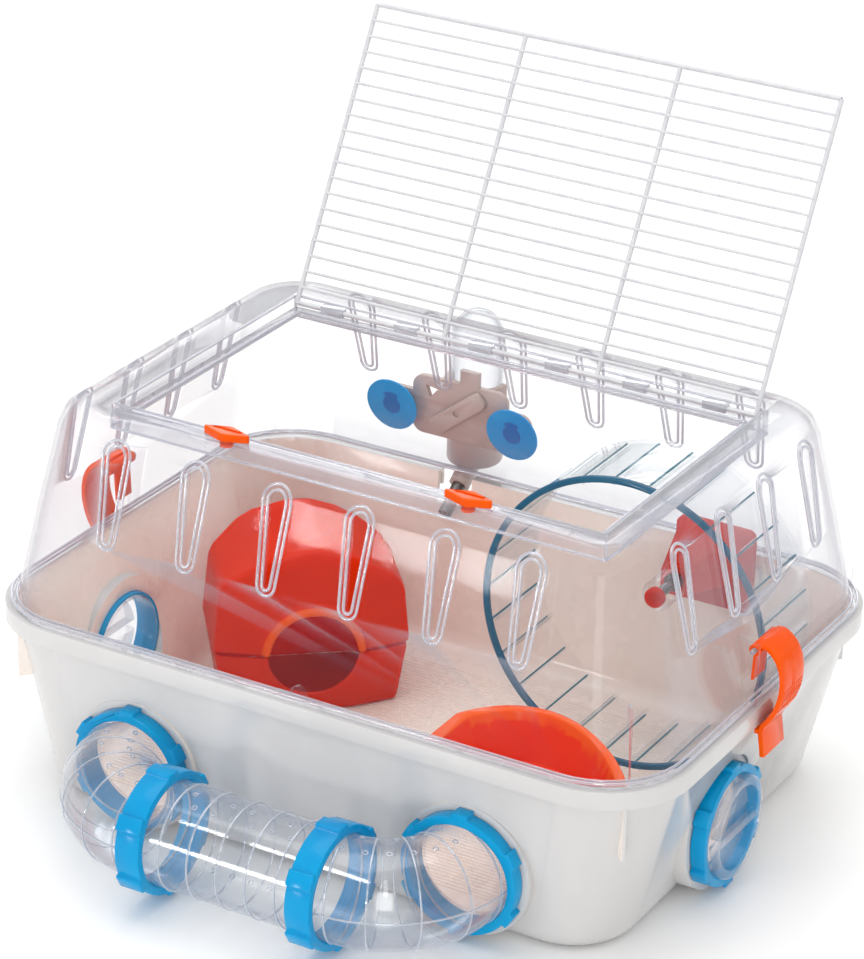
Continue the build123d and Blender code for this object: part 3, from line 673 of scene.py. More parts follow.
@dataclass(frozen=True)
class Tinted:
    """Coloured plastic that lets some light through: solid colour, glow from behind and a gloss coat."""

    name: str
    tone: Colour
    deep: Colour
    glow: float = 0.35
    see_through: float = 0.06
    roughness: float = 0.16
    grain: float = 0.02

    def build(self) -> bpy.types.Material:
        """Wire the material and return it."""
        wires = Wiring(self.name)
        flow = wires.noise(18.0, 4.0)
        colour = wires.blend_colour(wires.between(flow, 0.0, 1.0), self.tone, self.deep)
        normal = wires.bump(wires.noise(700.0, 2.0), self.grain, wires.bump(flow, self.grain * 4))
        rough = wires.between(wires.noise(70.0), self.roughness * 0.75, self.roughness * 1.3)
        solid = wires.add("BsdfPrincipled", {
            "Base Color": colour, "Roughness": rough, "Normal": normal,
            "Coat Weight": 0.08, "Coat Roughness": 0.05, "IOR": 1.5, "Specular IOR Level": 0.14,
        })
        lit = wires.add("BsdfTranslucent", {"Color": colour})
        glowing = wires.add("MixShader", {0: self.glow, 1: solid.outputs[0], 2: lit.outputs[0]})
        film = wires.add("BsdfTransparent", {"Color": self.tone})
        whole = wires.add("MixShader", {0: self.see_through, 1: glowing.outputs[0], 2: film.outputs[0]})
        return wires.finish(whole.outputs[0])


@dataclass(frozen=True)
class CoatedWire:
    """White coated wire: soft gloss with thin spots in the coat."""

    name: str
    tone: Colour

    def build(self) -> bpy.types.Material:
        """Wire the material and return it."""
        wires = Wiring(self.name)
        patch = wires.noise(160.0, 3.0)
        colour = wires.blend_colour(wires.between(patch, 0.0, 0.35), self.tone, linear(176, 181, 190))
        shader = wires.add("BsdfPrincipled", {
            "Base Color": colour, "Roughness": wires.between(patch, 0.28, 0.42),
            "Normal": wires.bump(wires.noise(1400.0, 2.0), 0.03), "Coat Weight": 0.3, "Coat Roughness": 0.1,
        })
        return wires.finish(shader.outputs[0])


@dataclass(frozen=True)
class Steel:
    """Brushed steel with fine drawn lines."""

    name: str
    tone: Colour

    def build(self) -> bpy.types.Material:
        """Wire the material and return it."""
        wires = Wiring(self.name)
        lines = wires.noise(500.0, 4.0, (1.0, 0.1, 0.1))
        colour = wires.blend_colour(wires.between(lines, 0.0, 1.0), self.tone, linear(92, 88, 86))
        shader = wires.add("BsdfPrincipled", {
            "Base Color": colour, "Roughness": wires.between(lines, 0.2, 0.42), "Metallic": 1.0,
            "Normal": wires.bump(lines, 0.02),
        })
        return wires.finish(shader.outputs[0])


class Finishes:
    """Every finish on the cage, built once."""

    def __init__(self) -> None:
        """Build the finishes."""
        self.tub = Moulded(
            "tub_white", linear(214, 212, 211), linear(196, 194, 193), 0.2, flow_scale=9.0, flow_stretch=(1, 1, 0.3),
        ).build()
        # Painted light: the inside is a brighter copy of the tub's white, lifted to make up for the shade under the
        # cover.
        self.tub_inside = Moulded("tub_inside", linear(246, 235, 226), linear(236, 223, 212), 0.26).build()
        self.cover = Clear(
            "cover_clear", (0.992, 0.993, 0.997, 1), linear(168, 170, 186), 0.004, painted_edge_weight=0.6, painted_edge_power=3.0,
        ).build()
        # Painted highlight: high haze and edge weight make the beads show as the grey-white lines that moulded edges
        # catch; the hinge strip and clip pins share this finish.
        self.cover_rib = Clear(
            "cover_rib_clear", (0.88, 0.885, 0.905, 1), linear(206, 207, 218), 0.3,
            painted_edge_weight=0.9, painted_edge_power=1.3, ripple=0.05, gloss=0.9, face_gloss=0.12,
        ).build()
        self.tube = Clear(
            "tube_clear", (0.984, 0.987, 0.992, 1), linear(140, 148, 166), 0.004,
            painted_edge_weight=0.7, painted_edge_power=3.0, ripple=0.1, gloss=0.9, face_gloss=0.04, roughness=0.1,
        ).build()
        # Painted highlight: high haze makes the tube's hoops, long ribs and vents show as light lines.
        self.tube_rib = Clear(
            "tube_rib_clear", (0.84, 0.855, 0.885, 1), linear(190, 197, 210), 0.3,
            painted_edge_weight=0.9, painted_edge_power=1.3, ripple=0.05, gloss=0.9, face_gloss=0.16,
        ).build()
        self.wheel = Clear(
            "wheel_clear", (0.987, 0.991, 0.994, 1), linear(168, 186, 196), 0.006, painted_edge_weight=0.5, painted_edge_power=3.0,
        ).build()
        # Painted reflection: thin teal bars on the treads stand in for the teal ring reflected in them.
        self.wheel_ring_reflection = Tinted(
            "wheel_teal_line", linear(60, 142, 164), linear(98, 174, 190), glow=0.3, see_through=0.4,
        ).build()
        self.bottle = Clear(
            "bottle_clear", (0.98, 0.984, 0.99, 1), linear(164, 170, 182), 0.015, painted_edge_weight=0.7, painted_edge_power=2.4,
        ).build()
        self.orange = Tinted(
            "latch_orange", linear(255, 98, 0), linear(250, 82, 0), glow=0.12, see_through=0.0,
        ).build()
        self.house = Tinted(
            "house_red", linear(255, 66, 6), linear(246, 50, 2), glow=0.42, see_through=0.16,
        ).build()
        # Painted shade: the house's inside faces take a deeper red than its outside, standing in for the dim red light
        # inside it.
        self.house_inside_painted_shade = Tinted(
            "house_red_inside", linear(240, 14, 4), linear(222, 8, 2), glow=0.6, see_through=0.2,
        ).build()
        self.awning = Tinted(
            "awning_orange", linear(255, 112, 24), linear(255, 96, 14), glow=0.35, see_through=0.04,
        ).build()
        self.bowl = Tinted(
            "bowl_orange", linear(255, 68, 0), linear(248, 54, 0), glow=0.25, see_through=0.02,
        ).build()
        # Painted highlight: a lighter orange for the bowl's top, where the light falls.
        self.bowl_lip_highlight = Tinted(
            "bowl_lip_orange", linear(255, 108, 8), linear(255, 92, 4), glow=0.25, see_through=0.02,
        ).build()
        self.bracket = Tinted(
            "bracket_red", linear(240, 66, 42), linear(226, 52, 30), glow=0.4, see_through=0.3,
        ).build()
        self.blue = Moulded(
            "ring_blue", linear(0, 156, 208), linear(0, 138, 196), 0.2, flow_scale=30.0, coat=0.04, specular=0.18,
        ).build()
        self.teal = Moulded(
            "wheel_teal", linear(6, 92, 124), linear(4, 78, 110), 0.22, flow_scale=30.0, coat=0.1, specular=0.35,
        ).build()
        self.taupe = Moulded(
            "holder_taupe", linear(198, 180, 173), linear(182, 162, 155), 0.36, flow_scale=24.0, coat=0.05,
        ).build()
        self.suction = Moulded(
            "suction_blue", linear(30, 176, 240), linear(14, 156, 226), 0.28, flow_scale=40.0, coat=0.1, specular=0.35,
        ).build()
        self.suction_core = Moulded(
            "suction_blue_core", linear(18, 132, 206), linear(8, 112, 190), 0.3,
            flow_scale=40.0, coat=0.1, specular=0.35,
        ).build()
        self.wire = CoatedWire("wire_white", linear(214, 214, 216)).build()
        self.steel = Steel("nozzle_steel", linear(140, 134, 130)).build()


def dress(node: str, material: bpy.types.Material) -> None:
    """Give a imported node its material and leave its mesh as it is.

    Args:
        node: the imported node.
        material: its material.
    """
    obj = frame["nodes"][node]
    if obj.material_slots:
        for place in obj.material_slots:
            place.material = material
    else:
        obj.data.materials.append(material)
    LOG.info("node %s dressed with %s", node, material.name)


def swap(node: str, material: bpy.types.Material, round_edge: float) -> bpy.types.Object:
    """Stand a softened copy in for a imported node.

    Args:
        node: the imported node.
        material: the copy's material.
        round_edge: rounding of its edges in millimetres.

    Returns:
        The new piece.
    """
    mesh = softened(node, round_edge)
    mesh.materials.append(material)
    return add_piece(node + "_moulded", mesh, body_of_node(node), [node])


# ---------------------------------------------------------------- the cage, sub-assembly by sub-assembly
@dataclass
class Tub:
    """The white tub: its walls and rim, the floor's fine ridges and the blue collars in its ports."""

    finishes: Finishes
    edge_round: float = 0.7
    ridge_pitch: float = 3.0
    ridge_wide: float = 0.5
    floor_half_x: float = 150.0
    floor_half_y: float = 108.0
    ridge_high: float = 0.5
    ridge_z: float = 2.6
    inside_top: float = 106.5
    floor_top: float = 30.0
    inward_least: float = 0.02

    def build(self) -> None:
        """Make the tub's pieces."""
        self.shell()
        self.floor_ridges()
        for place in ("front_left", "front_right", "side_left", "side_right"):
            swap("port_ring_" + place, self.finishes.blue, 0.6)

    def shell(self) -> None:
        """Copy the tub with rounded edges and a warmer finish on its inside faces, painted brighter to make up for the
        shade under the clear cover.
        """
        mesh = softened("tray", self.edge_round, 30.0)
        mesh.materials.append(self.finishes.tub)
        mesh.materials.append(self.finishes.tub_inside)
        # Inside faces and the floor take the brighter finish: painted light.
        for face in mesh.polygons:
            centre, normal = face.center, face.normal
            outward = centre.x * normal.x + centre.y * normal.y
            inward = outward < -self.inward_least and centre.z < self.inside_top * MM
            floor = normal.z > 0.8 and centre.z < self.floor_top * MM
            face.material_index = 1 if inward or floor else 0
        add_piece("tub_shell", mesh, "tub", ["tray"])

    def floor_ridges(self) -> None:
        """Lay the fine moulded ridges across the middle of the tub floor."""
        tree = Tree("floor_ridges")
        count, pitch = tree.size("Count", "Int"), tree.size("Pitch")
        bar, start = tree.size("Bar Size", "Vector"), tree.size("Start", "Vector")
        row = tree.row(count, start, tree.vector(0.0, pitch))
        box = tree.add("MeshCube", {"Size": bar})
        tree.close(tree.stand(box.outputs[0], row))
        rows = int(2 * self.floor_half_y / self.ridge_pitch)
        mesh = tree.bake(blank_mesh(), {
            "Count": rows,
            "Pitch": self.ridge_pitch * MM,
            "Bar Size": (2 * self.floor_half_x * MM, self.ridge_wide * MM, self.ridge_high * MM),
            "Start": (0.0, -self.floor_half_y * MM, self.ridge_z * MM),
        }, self.finishes.tub_inside)
        add_piece("floor_ridges", mesh, "tub")


@dataclass
class ClearCover:
    """The clear cover, its hinge strip, its latches, and the rounded beads along its moulded edges, finished in a hazy
    grey-white that paints the light those edges catch.
    """

    finishes: Finishes
    wall_steps: tuple[tuple[float, float, float], ...] = (
        (110.0, 197.0, 142.0), (160.0, 188.0, 133.0), (209.0, 178.0, 121.0),
        (217.0, 174.0, 117.0), (220.0, 168.5, 111.5),
    )
    slot_low: float = 163.0
    rear_slot_low: float = 168.5
    slot_high: float = 206.5
    slot_low_radius: float = 2.2
    slot_high_radius: float = 5.2
    slot_lip: float = 3.4
    slot_proud: float = 1.1
    long_slots: tuple[float, ...] = (-123.0, -74.0, -24.5, 24.5, 74.0, 123.0)
    end_slots: tuple[float, ...] = (-73.0, -24.3, 24.3, 73.0)
    bead: float = 0.8
    frame_bead: float = 0.8
    recess: tuple[float, float] = (146.6, 90.0)
    opening: tuple[float, float] = (139.6, 83.0)
    frame_wall: float = 1.9
    roof_z: float = 220.0
    ledge_z: float = 214.8
    frame_low_z: float = 206.0
    flange: tuple[float, float, float] = (201.0, 144.5, 47.5)
    flange_z: float = 110.2

    def build(self) -> None:
        """Make the cover's pieces."""
        mesh = softened("cover", 0.0, 42.0)
        mesh.materials.append(self.finishes.cover)
        add_piece("cover_shell", mesh, "cover", ["cover"])
        swap("roof_hinge_strip", self.finishes.cover_rib, 0.25)
        for side in Side:
            swap("clip_pin_" + side.word, self.finishes.cover_rib, 0.2)
            swap("roof_latch_" + side.word, self.finishes.orange, 0.3)
        self.slot_beads()
        self.frame_beads()

    def wall_at(self, z: float, column: int) -> float:
        """Find how far out the wall stands at a height.

        Args:
            z: the height in millimetres.
            column: 1 for the end walls' X, 2 for the long walls' Y.

        Returns:
            The distance from the middle in millimetres.
        """
        for low, high in zip(self.wall_steps, self.wall_steps[1:]):
            if z <= high[0]:
                part = (z - low[0]) / (high[0] - low[0])
                return low[column] + part * (high[column] - low[column])
        return self.wall_steps[-1][column]

    def slot_outline(self, low_z: float, grow: float) -> list[tuple[float, float]]:
        """Trace one slot's closed outline.

        Args:
            low_z: height of the slot's lower round.
            grow: how far outside the slot the outline runs.

        Returns:
            Pairs of sideways offset and height in millimetres.
        """
        small, large = self.slot_low_radius + grow, self.slot_high_radius + grow
        lean = math.asin((large - small) / (self.slot_high - low_z))
        outline: list[tuple[float, float]] = []
        for step in range(13):
            turn = -lean + (math.pi + 2 * lean) * step / 12
            outline.append((large * math.cos(turn), self.slot_high + large * math.sin(turn)))
        for step in range(9):
            turn = math.pi + lean + (math.pi - 2 * lean) * step / 8
            outline.append((small * math.cos(turn), low_z + small * math.sin(turn)))
        outline.append(outline[0])
        return outline

    def slot_beads(self) -> None:
        """Run a fine bead round the inner and outer edge of every wall slot."""
        lines: list[list[Vector]] = []
        for sign in (-1, 1):
            for grow in (0.3, self.slot_lip - 0.3):
                low = self.slot_low if sign < 0 else self.rear_slot_low
                for x in self.long_slots:
                    lines.append([
                        Vector((x + u, sign * (self.wall_at(z, 2) + self.slot_proud), z)) * MM
                        for u, z in self.slot_outline(low, grow)
                    ])
                for y in self.end_slots:
                    lines.append([
                        Vector((sign * (self.wall_at(z, 1) + self.slot_proud), y + u, z)) * MM
                        for u, z in self.slot_outline(self.slot_low, grow)
                    ])
        add_rods("slot_beads", lines, self.bead, self.finishes.cover_rib, "cover")

    def frame_beads(self) -> None:
        """Run a bead along the roof frame, its ledge and the flange."""
        recess_x, recess_y = self.recess
        open_x, open_y = self.opening
        lines = [
            loop_points(recess_x, recess_y, 1.5, self.roof_z - self.frame_bead),
            loop_points(recess_x + self.frame_wall, recess_y + self.frame_wall, 2.0, self.frame_low_z),
            loop_points(open_x, open_y, 1.0, self.ledge_z - 1.5 * self.frame_bead),
            loop_points(open_x, open_y, 1.0, self.ledge_z - 3.5 * self.frame_bead),
            loop_points(self.flange[0], self.flange[1], self.flange[2], self.flange_z),
            loop_points(self.flange[0] - 3.0, self.flange[1] - 3.0, self.flange[2] - 3.0, self.flange_z),
        ]
        for x in (-recess_x - 1.0, recess_x + 1.0):
            for y in (-recess_y - 1.0, recess_y + 1.0):
                lines.append([
                    Vector((x, y, self.frame_low_z)) * MM, Vector((x, y, self.roof_z - self.frame_bead)) * MM,
                ])
        add_rods("frame_beads", lines, self.frame_bead, self.finishes.cover_rib, "cover")


@dataclass
class WireLid:
    """The white wire lid, standing open on its hinge."""

    finishes: Finishes
    reach: float = 174.0
    half_width: float = 143.5
    gaps: int = 19
    wire_radius: float = 0.85
    rod_radius: float = 1.4
    wire_offset: float = 0.9
    open_angle: float = 118.8
    hinge: tuple[float, float, float] = (0.0, 86.0, 216.8)

    def build(self) -> None:
        """Make the lid from its wires and rods."""
        mesh = wire_lid_tree().bake(blank_mesh(), {
            "Reach": self.reach * MM,
            "Half Width": self.half_width * MM,
            "Gaps": self.gaps,
            "Wire Radius": self.wire_radius * MM,
            "Rod Radius": self.rod_radius * MM,
            "Wire Offset": self.wire_offset * MM,
            "Hinge": tuple(value * MM for value in self.hinge),
            "Lean": math.radians(180.0 - self.open_angle),
        }, self.finishes.wire)
        shade(mesh, 50.0)
        add_piece("lid_wires", mesh, "lid", ["roof_grid"])


@dataclass
class SideClips:
    """The two orange side clips with the grip ridges and the seam on their arches."""

    finishes: Finishes
    middle_y: float = -10.0
    width: float = 24.0
    arch: tuple[tuple[float, float], ...] = (
        (140.5, 209.6), (136.0, 213.5), (129.0, 215.8), (122.0, 216.4),
        (115.0, 215.6), (108.0, 213.4), (98.0, 207.2),
    )
    skin: float = 1.25
    ridge_low: float = 103.5
    ridge_pitch: float = 2.3
    ridge_count: int = 8
    ridge_radius: float = 0.55
    edge_gap: float = 1.0
    seam_gap: float = 1.6
    seam_y: float = 1.2
    seam_heights: tuple[float, ...] = (100.0, 104.0, 108.0, 112.0, 116.0, 120.0, 124.0, 128.0, 132.0, 136.0, 139.0)

    def build(self) -> None:
        """Make both clips."""
        for side in Side:
            swap("side_clip_" + side.word, self.finishes.orange, 0.5)
            self.grip(side)

    def arch_x(self, z: float) -> float:
        """Find how far out the arch's outer face stands.

        Args:
            z: the height in millimetres.

        Returns:
            The distance in millimetres.
        """
        for high, low in zip(self.arch, self.arch[1:]):
            if low[0] <= z <= high[0]:
                part = (z - low[0]) / (high[0] - low[0])
                return low[1] + part * (high[1] - low[1]) + self.skin
        return self.arch[-1][1] + self.skin

    def arch_spot(self, side: Side, y: float, z: float) -> Vector:
        """Find a place on the arch's outer face, in metres from millimetres."""
        return Vector((side.value * self.arch_x(z), self.middle_y + y, z)) * MM

    def grip(self, side: Side) -> None:
        """Raise the grip ridges across the arch and the seam down its middle.

        Args:
            side: which clip.
        """
        half = self.width / 2 - self.edge_gap
        lines = []
        for step in range(self.ridge_count):
            z = self.ridge_low + self.ridge_pitch * step
            for ends in ((-half, -self.seam_gap), (self.seam_gap, half)):
                lines.append([self.arch_spot(side, y, z) for y in ends])
        for y in (-self.seam_y, self.seam_y):
            lines.append([self.arch_spot(side, y, z) for z in self.seam_heights])
        name, body = "clip_grip_" + side.word, "clip_" + side.word
        add_rods(name, lines, self.ridge_radius, self.finishes.orange, body)


@dataclass
class TubeRun:
    """The outside tube run: two bent tubes, the straight tube and the collars between them."""

    finishes: Finishes
    port_x: float = 101.0
    run_y: float = -190.0
    tube_z: float = 39.0
    bend: float = 43.0
    joint_x: float = 51.0
    tube_radius: float = 28.5
    rib_radius: float = 0.55
    arc_steps: int = 24
    straight_ribs: int = 5
    bend_ribs: int = 5
    vent_radius: float = 1.3
    vent_lip: float = 0.4
    vents_in_row: int = 6
    bend_leans: tuple[float, ...] = (-16.0, 14.0)
    bend_vent_from: float = 10.0
    bend_vent_pitch: float = 14.0
    bend_vent_shift: float = 6.0
    straight_leans: tuple[float, ...] = (4.0, 22.0, -150.0, 170.0)
    straight_vent_from: float = 6.0
    straight_vent_pitch: float = 11.5
    straight_vent_shift: float = 5.0
    collar_reach: float = 16.0

    def build(self) -> None:
        """Make the tubes, their ribs and their vents."""
        for side in Side:
            dress("elbow_" + side.word, self.finishes.tube)
            swap("joint_ring_" + side.word, self.finishes.blue, 0.8)
            self.bend_trim(side)
        dress("straight_tube", self.finishes.tube)
        self.straight_trim()

    def bend_point(self, side: Side, angle: float, out: float, up: float = 0.0) -> Vector:
        """Find a place on the bend.

        Args:
            side: which bent tube.
            angle: how far round the bend, from 0 at the port to 90 degrees.
            out: distance outwards from the tube's centre line in millimetres.
            up: height above the centre line in millimetres.

        Returns:
            The place in metres.
        """
        turn = math.radians(angle)
        reach = self.bend + out
        x = side.value * (self.port_x - self.bend + reach * math.cos(turn))
        y = self.run_y + self.bend - reach * math.sin(turn)
        return Vector((x, y, self.tube_z + up)) * MM

    def bend_trim(self, side: Side) -> None:
        """Rib one bent tube: hoops round it, one long rib on its outer side, and vents on top.

        Args:
            side: which bent tube.
        """
        turns = [90.0 * step / self.arc_steps for step in range(self.arc_steps + 1)]
        middle = [self.bend_point(side, angle, 0.0) for angle in turns]
        outer = [self.bend_point(side, angle, self.tube_radius) for angle in turns]
        self.hoops("bend_ribs_" + side.word, middle, self.bend_ribs)
        rod = {"Rod Radius": self.rib_radius * MM}
        self.trim("bend_long_rib_" + side.word, rod_tree(), lines_mesh([outer]), rod)
        spots: list[tuple[Vector, Vector]] = []
        for row, lean in enumerate(self.bend_leans):
            for step in range(self.vents_in_row):
                angle = self.bend_vent_from + self.bend_vent_pitch * step + self.bend_vent_shift * row
                spots.append(self.bend_spot(side, angle, lean))
        self.vents("bend_vents_" + side.word, spots)

    def trim(self, name: str, tree: Tree, host: bpy.types.Mesh, sizes: dict[str, Any]) -> None:
        """Bake one tree of the tubes' trim and add it as a piece.

        Args:
            name: the piece's name.
            tree: the tree.
            host: its host mesh.
            sizes: its input names to values.
        """
        mesh = tree.bake(host, sizes, self.finishes.tube_rib)
        shade(mesh, ROD_TURN)
        add_piece(name, mesh, "tube_run")

    def hoops(self, name: str, line: Sequence[Vector], count: int) -> None:
        """Rib a tube with hoops at even steps."""
        sizes = {"Hoop Radius": self.tube_radius * MM, "Rod Radius": self.rib_radius * MM, "Count": count}
        self.trim(name, hoop_tree(), lines_mesh([line]), sizes)

    def vents(self, name: str, spots: Sequence[tuple[Vector, Vector]]) -> None:
        """Set vents on a tube's skin."""
        sizes = {"Hole Radius": self.vent_radius * MM, "Lip Radius": self.vent_lip * MM}
        self.trim(name, eyelet_tree(), spots_mesh(spots), sizes)

    def bend_spot(self, side: Side, angle: float, lean: float) -> tuple[Vector, Vector]:
        """Find a spot on the upper skin of the bend and the direction that it faces.

        Args:
            side: which bent tube.
            angle: how far round the bend in degrees.
            lean: how far from the top towards the outer side in degrees.

        Returns:
            The place and its outward direction.
        """
        tilt = math.radians(lean)
        out, up = self.tube_radius * math.sin(tilt), self.tube_radius * math.cos(tilt)
        place = self.bend_point(side, angle, out, up)
        return place, (place - self.bend_point(side, angle, 0.0)).normalized()

    def straight_trim(self) -> None:
        """Rib the straight tube and set its vents."""
        half = self.joint_x - self.collar_reach
        ends = [Vector((x, self.run_y, self.tube_z)) * MM for x in (-half, half)]
        self.hoops("straight_ribs", ends, self.straight_ribs)
        spots: list[tuple[Vector, Vector]] = []
        for row, lean in enumerate(self.straight_leans):
            tilt = math.radians(lean)
            facing = Vector((0.0, -math.sin(tilt), math.cos(tilt)))
            for step in range(self.vents_in_row):
                along = self.straight_vent_from + self.straight_vent_pitch * step
                x = -half + along + self.straight_vent_shift * (row % 2)
                middle = Vector((x, self.run_y, self.tube_z))
                spots.append(((middle + facing * self.tube_radius) * MM, facing))
        self.vents("straight_vents", spots)


@dataclass
class SideCaps:
    """The clear caps that close the two side ports."""

    finishes: Finishes

    def build(self) -> None:
        """Make both caps."""
        for side in Side:
            swap("side_cap_" + side.word, self.finishes.tube, 0.5)


@dataclass
class RunningWheel:
    """The clear running wheel, its teal edge ring, its treads with the ring's teal reflection painted on them, and the
    bracket on the rear wall.
    """

    finishes: Finishes
    treads: int = 26
    centre: tuple[float, float, float] = (102.5, 50.0, 109.0)
    cap_scale: float = 0.76
    line_radius: float = 83.2
    line_size: tuple[float, float, float] = (0.7, 1.0, 52.0)

    def build(self) -> None:
        """Make the wheel's pieces."""
        dress("wheel_drum", self.finishes.wheel)
        swap("wheel_ring", self.finishes.teal, 0.0)
        dress("wheel_axle", self.finishes.steel)
        self.hub_cap()
        swap("wheel_bracket", self.finishes.bracket, 1.0)
        # The teal bars on the treads are a painted reflection of the teal ring.
        self.tread_lines()

    def hub_cap(self) -> None:
        """Make the small domed cap on the axle's end."""
        mesh = softened("wheel_hub_cap", 0.0)
        mesh.materials.append(self.finishes.bracket)
        centre = Vector(self.centre) * MM
        for vertex in mesh.vertices:
            away = vertex.co - centre
            vertex.co = centre + Vector((away.x * self.cap_scale, away.y, away.z * self.cap_scale))
        add_piece("wheel_hub_cap_moulded", mesh, "tub", ["wheel_hub_cap"])

    def tread_lines(self) -> None:
        """Paint a thin teal bar on each tread: a painted reflection of the teal ring, not a part of the wheel."""
        mesh = bar_ring_tree().bake(blank_mesh(), {
            "Count": self.treads,
            "Radius": self.line_radius * MM,
            "Bar Size": tuple(value * MM for value in self.line_size),
            "Centre": tuple(value * MM for value in self.centre),
        }, self.finishes.wheel_ring_reflection)
        add_piece("tread_lines", mesh, "wheel")


@dataclass
class House:
    """The two halves of the sleeping house and the orange lip over its doorway."""

    finishes: Finishes
    at: tuple[float, float] = (-111.0, 44.0)
    yaw: float = 40.0
    door_z: float = 41.0
    door_radius: float = 25.0
    lip_wide: float = 4.8
    lip_inset: float = 0.8
    lip_forward: float = 36.5
    lip_drop: float = 2.0
    cell: float = 1.0
    passes: int = 45
    floor_share: float = 0.955
    floor_lift: float = 0.4
    floor_thick: float = 0.8

    def build(self) -> None:
        """Make both halves."""
        for half in ("house_base", "house_roof"):
            mesh = remoulded(half, self.cell, self.passes)
            for finish in (self.finishes.house, self.finishes.awning, self.finishes.house_inside_painted_shade):
                mesh.materials.append(finish)
            middle = Vector((self.at[0], self.at[1], self.door_z)) * MM
            for face in mesh.polygons:
                # Inward faces take the deeper red: painted shade inside the house.
                inward = (face.center - middle).dot(face.normal) < 0.0
                face.material_index = 1 if self.on_lip(face.center) else 2 if inward else 0
            add_piece(half + "_moulded", mesh, body_of_node(half), [half])
        # The red sheet inside the house is painted red light on the tray floor.
        self.red_light_sheet()

    def red_light_sheet(self) -> None:
        """Lay a thin red sheet on the tray floor inside the lower half, a little within its walls: painted red light
        and shade where the red walls filter the light.
        """
        plan = [v.co.copy() for v in softened("house_base", 0.0).vertices]
        low = min(co.z for co in plan)
        foot = [co.to_2d() for co in plan if co.z < low + self.floor_lift * MM]
        order = convex_hull_2d(foot)
        middle = Vector(self.at) * MM
        outline = [middle + (foot[i] - middle) * self.floor_share for i in order]
        under, over = low + self.floor_lift * MM, low + (self.floor_lift + self.floor_thick) * MM
        count = len(outline)
        points = [(p.x, p.y, z) for z in (under, over) for p in outline]
        walls = [(i, (i + 1) % count, count + (i + 1) % count, count + i) for i in range(count)]
        lid, base = tuple(range(count, 2 * count)), tuple(reversed(range(count)))
        mesh = bpy.data.meshes.new("house_floor")
        mesh.from_pydata(points, [], [base, lid, *walls])
        mesh.materials.append(self.finishes.house_inside_painted_shade)
        add_piece("house_floor", mesh, "house", ["house_base"])

    def on_lip(self, place: Vector) -> bool:
        """Tell whether a place is on the lip round the doorway.

        Args:
            place: a place in metres.

        Returns:
            True on the lip.
        """
        turn = math.radians(self.yaw)
        flat = Vector((place.x / MM - self.at[0], place.y / MM - self.at[1]))
        sideways = flat.x * math.cos(turn) + flat.y * math.sin(turn)
        forward = flat.x * math.sin(turn) - flat.y * math.cos(turn)
        from_axis = math.hypot(sideways, place.z / MM - self.door_z)
        near = self.door_radius - self.lip_inset < from_axis < self.door_radius + self.lip_wide
        return near and forward > self.lip_forward and place.z / MM > self.door_z - self.lip_drop


@dataclass
class Bowl:
    """The food bowl hung at the front, with its lip painted brighter where the light falls on its top."""

    finishes: Finishes
    lip_low: float = 95.0
    least_up: float = -0.2

    def build(self) -> None:
        """Make the bowl."""
        mesh = softened("food_bowl", 0.9, 28.0)
        mesh.materials.append(self.finishes.bowl)
        mesh.materials.append(self.finishes.bowl_lip_highlight)
        # Top faces that don't face down take the lighter orange: a painted highlight.
        for face in mesh.polygons:
            face.material_index = int(face.center.z > self.lip_low * MM and face.normal.z > self.least_up)
        add_piece("food_bowl_moulded", mesh, "bowl", ["food_bowl"])


@dataclass
class Drinker:
    """The bottle with its nozzle, held outside the rear wall by the taupe holder and two cups."""

    finishes: Finishes
    core_radius: float = 7.0
    cup_radius: float = 16.4
    rings: int = 5
    core_steps: float = 1.2
    least_corners: int = 8

    def build(self) -> None:
        """Make the drinker's pieces."""
        dress("bottle", self.finishes.bottle)
        swap("bottle_cap", self.finishes.taupe, 0.0)
        dress("bottle_nozzle", self.finishes.steel)
        dress("nozzle_ball", self.finishes.steel)
        swap("bottle_holder", self.finishes.taupe, 0.5)
        swap("holder_lever", self.finishes.taupe, 0.6)
        swap("lever_pin", self.finishes.taupe, 0.2)
        for side in Side:
            self.cup(side)

    def cup(self, side: Side) -> None:
        """Make one suction cup, darker in the middle of its face.

        Args:
            side: which cup.
        """
        node = "suction_cup_" + side.word
        mesh = softened(node, 0.0)
        self.face_rings(mesh)
        mesh.materials.append(self.finishes.suction)
        mesh.materials.append(self.finishes.suction_core)
        low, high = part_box(node)
        middle = Vector(((low[0] + high[0]) / 2, (low[2] + high[2]) / 2))
        for face in mesh.polygons:
            away = (Vector((face.center.x, face.center.z)) - middle).length
            face.material_index = int(away < self.core_radius * MM)
        add_piece(node + "_moulded", mesh, "cover", [node])

    def face_rings(self, mesh: bpy.types.Mesh) -> None:
        """Cut the cup's flat face into rings, so that its middle can be darker.

        Args:
            mesh: the cup's mesh.
        """
        shell = bmesh.new()
        shell.from_mesh(mesh)
        flat = max(shell.faces, key=lambda face: face.calc_area())
        step = self.cup_radius * MM / (self.rings + self.core_steps)
        for _ in range(self.rings):
            cut = bmesh.ops.inset_individual(shell, faces=[flat], thickness=step, use_even_offset=True)
            rounds = [face for face in [flat] + cut["faces"] if len(face.verts) > self.least_corners]
            flat = max(rounds, key=lambda face: face.calc_area())
        shell.to_mesh(mesh)
        shell.free()


@dataclass(frozen=True)
class Softbox:
    """One soft studio light, aimed at a point."""

    name: str
    at: tuple[float, float, float]
    aim: tuple[float, float, float]
    wide: float
    high: float
    power: float

    def light(self) -> None:
        """Hang the light."""
        lamp = bpy.data.lights.new(self.name, "AREA")
        lamp.shape = "RECTANGLE"
        lamp.size, lamp.size_y, lamp.energy = self.wide, self.high, self.power
        holder = bpy.data.objects.new(self.name, lamp)
        bpy.context.scene.collection.objects.link(holder)
        holder.location = self.at
        look = Vector(self.aim) - Vector(self.at)
        holder.rotation_euler = look.to_track_quat("-Z", "Y").to_euler()


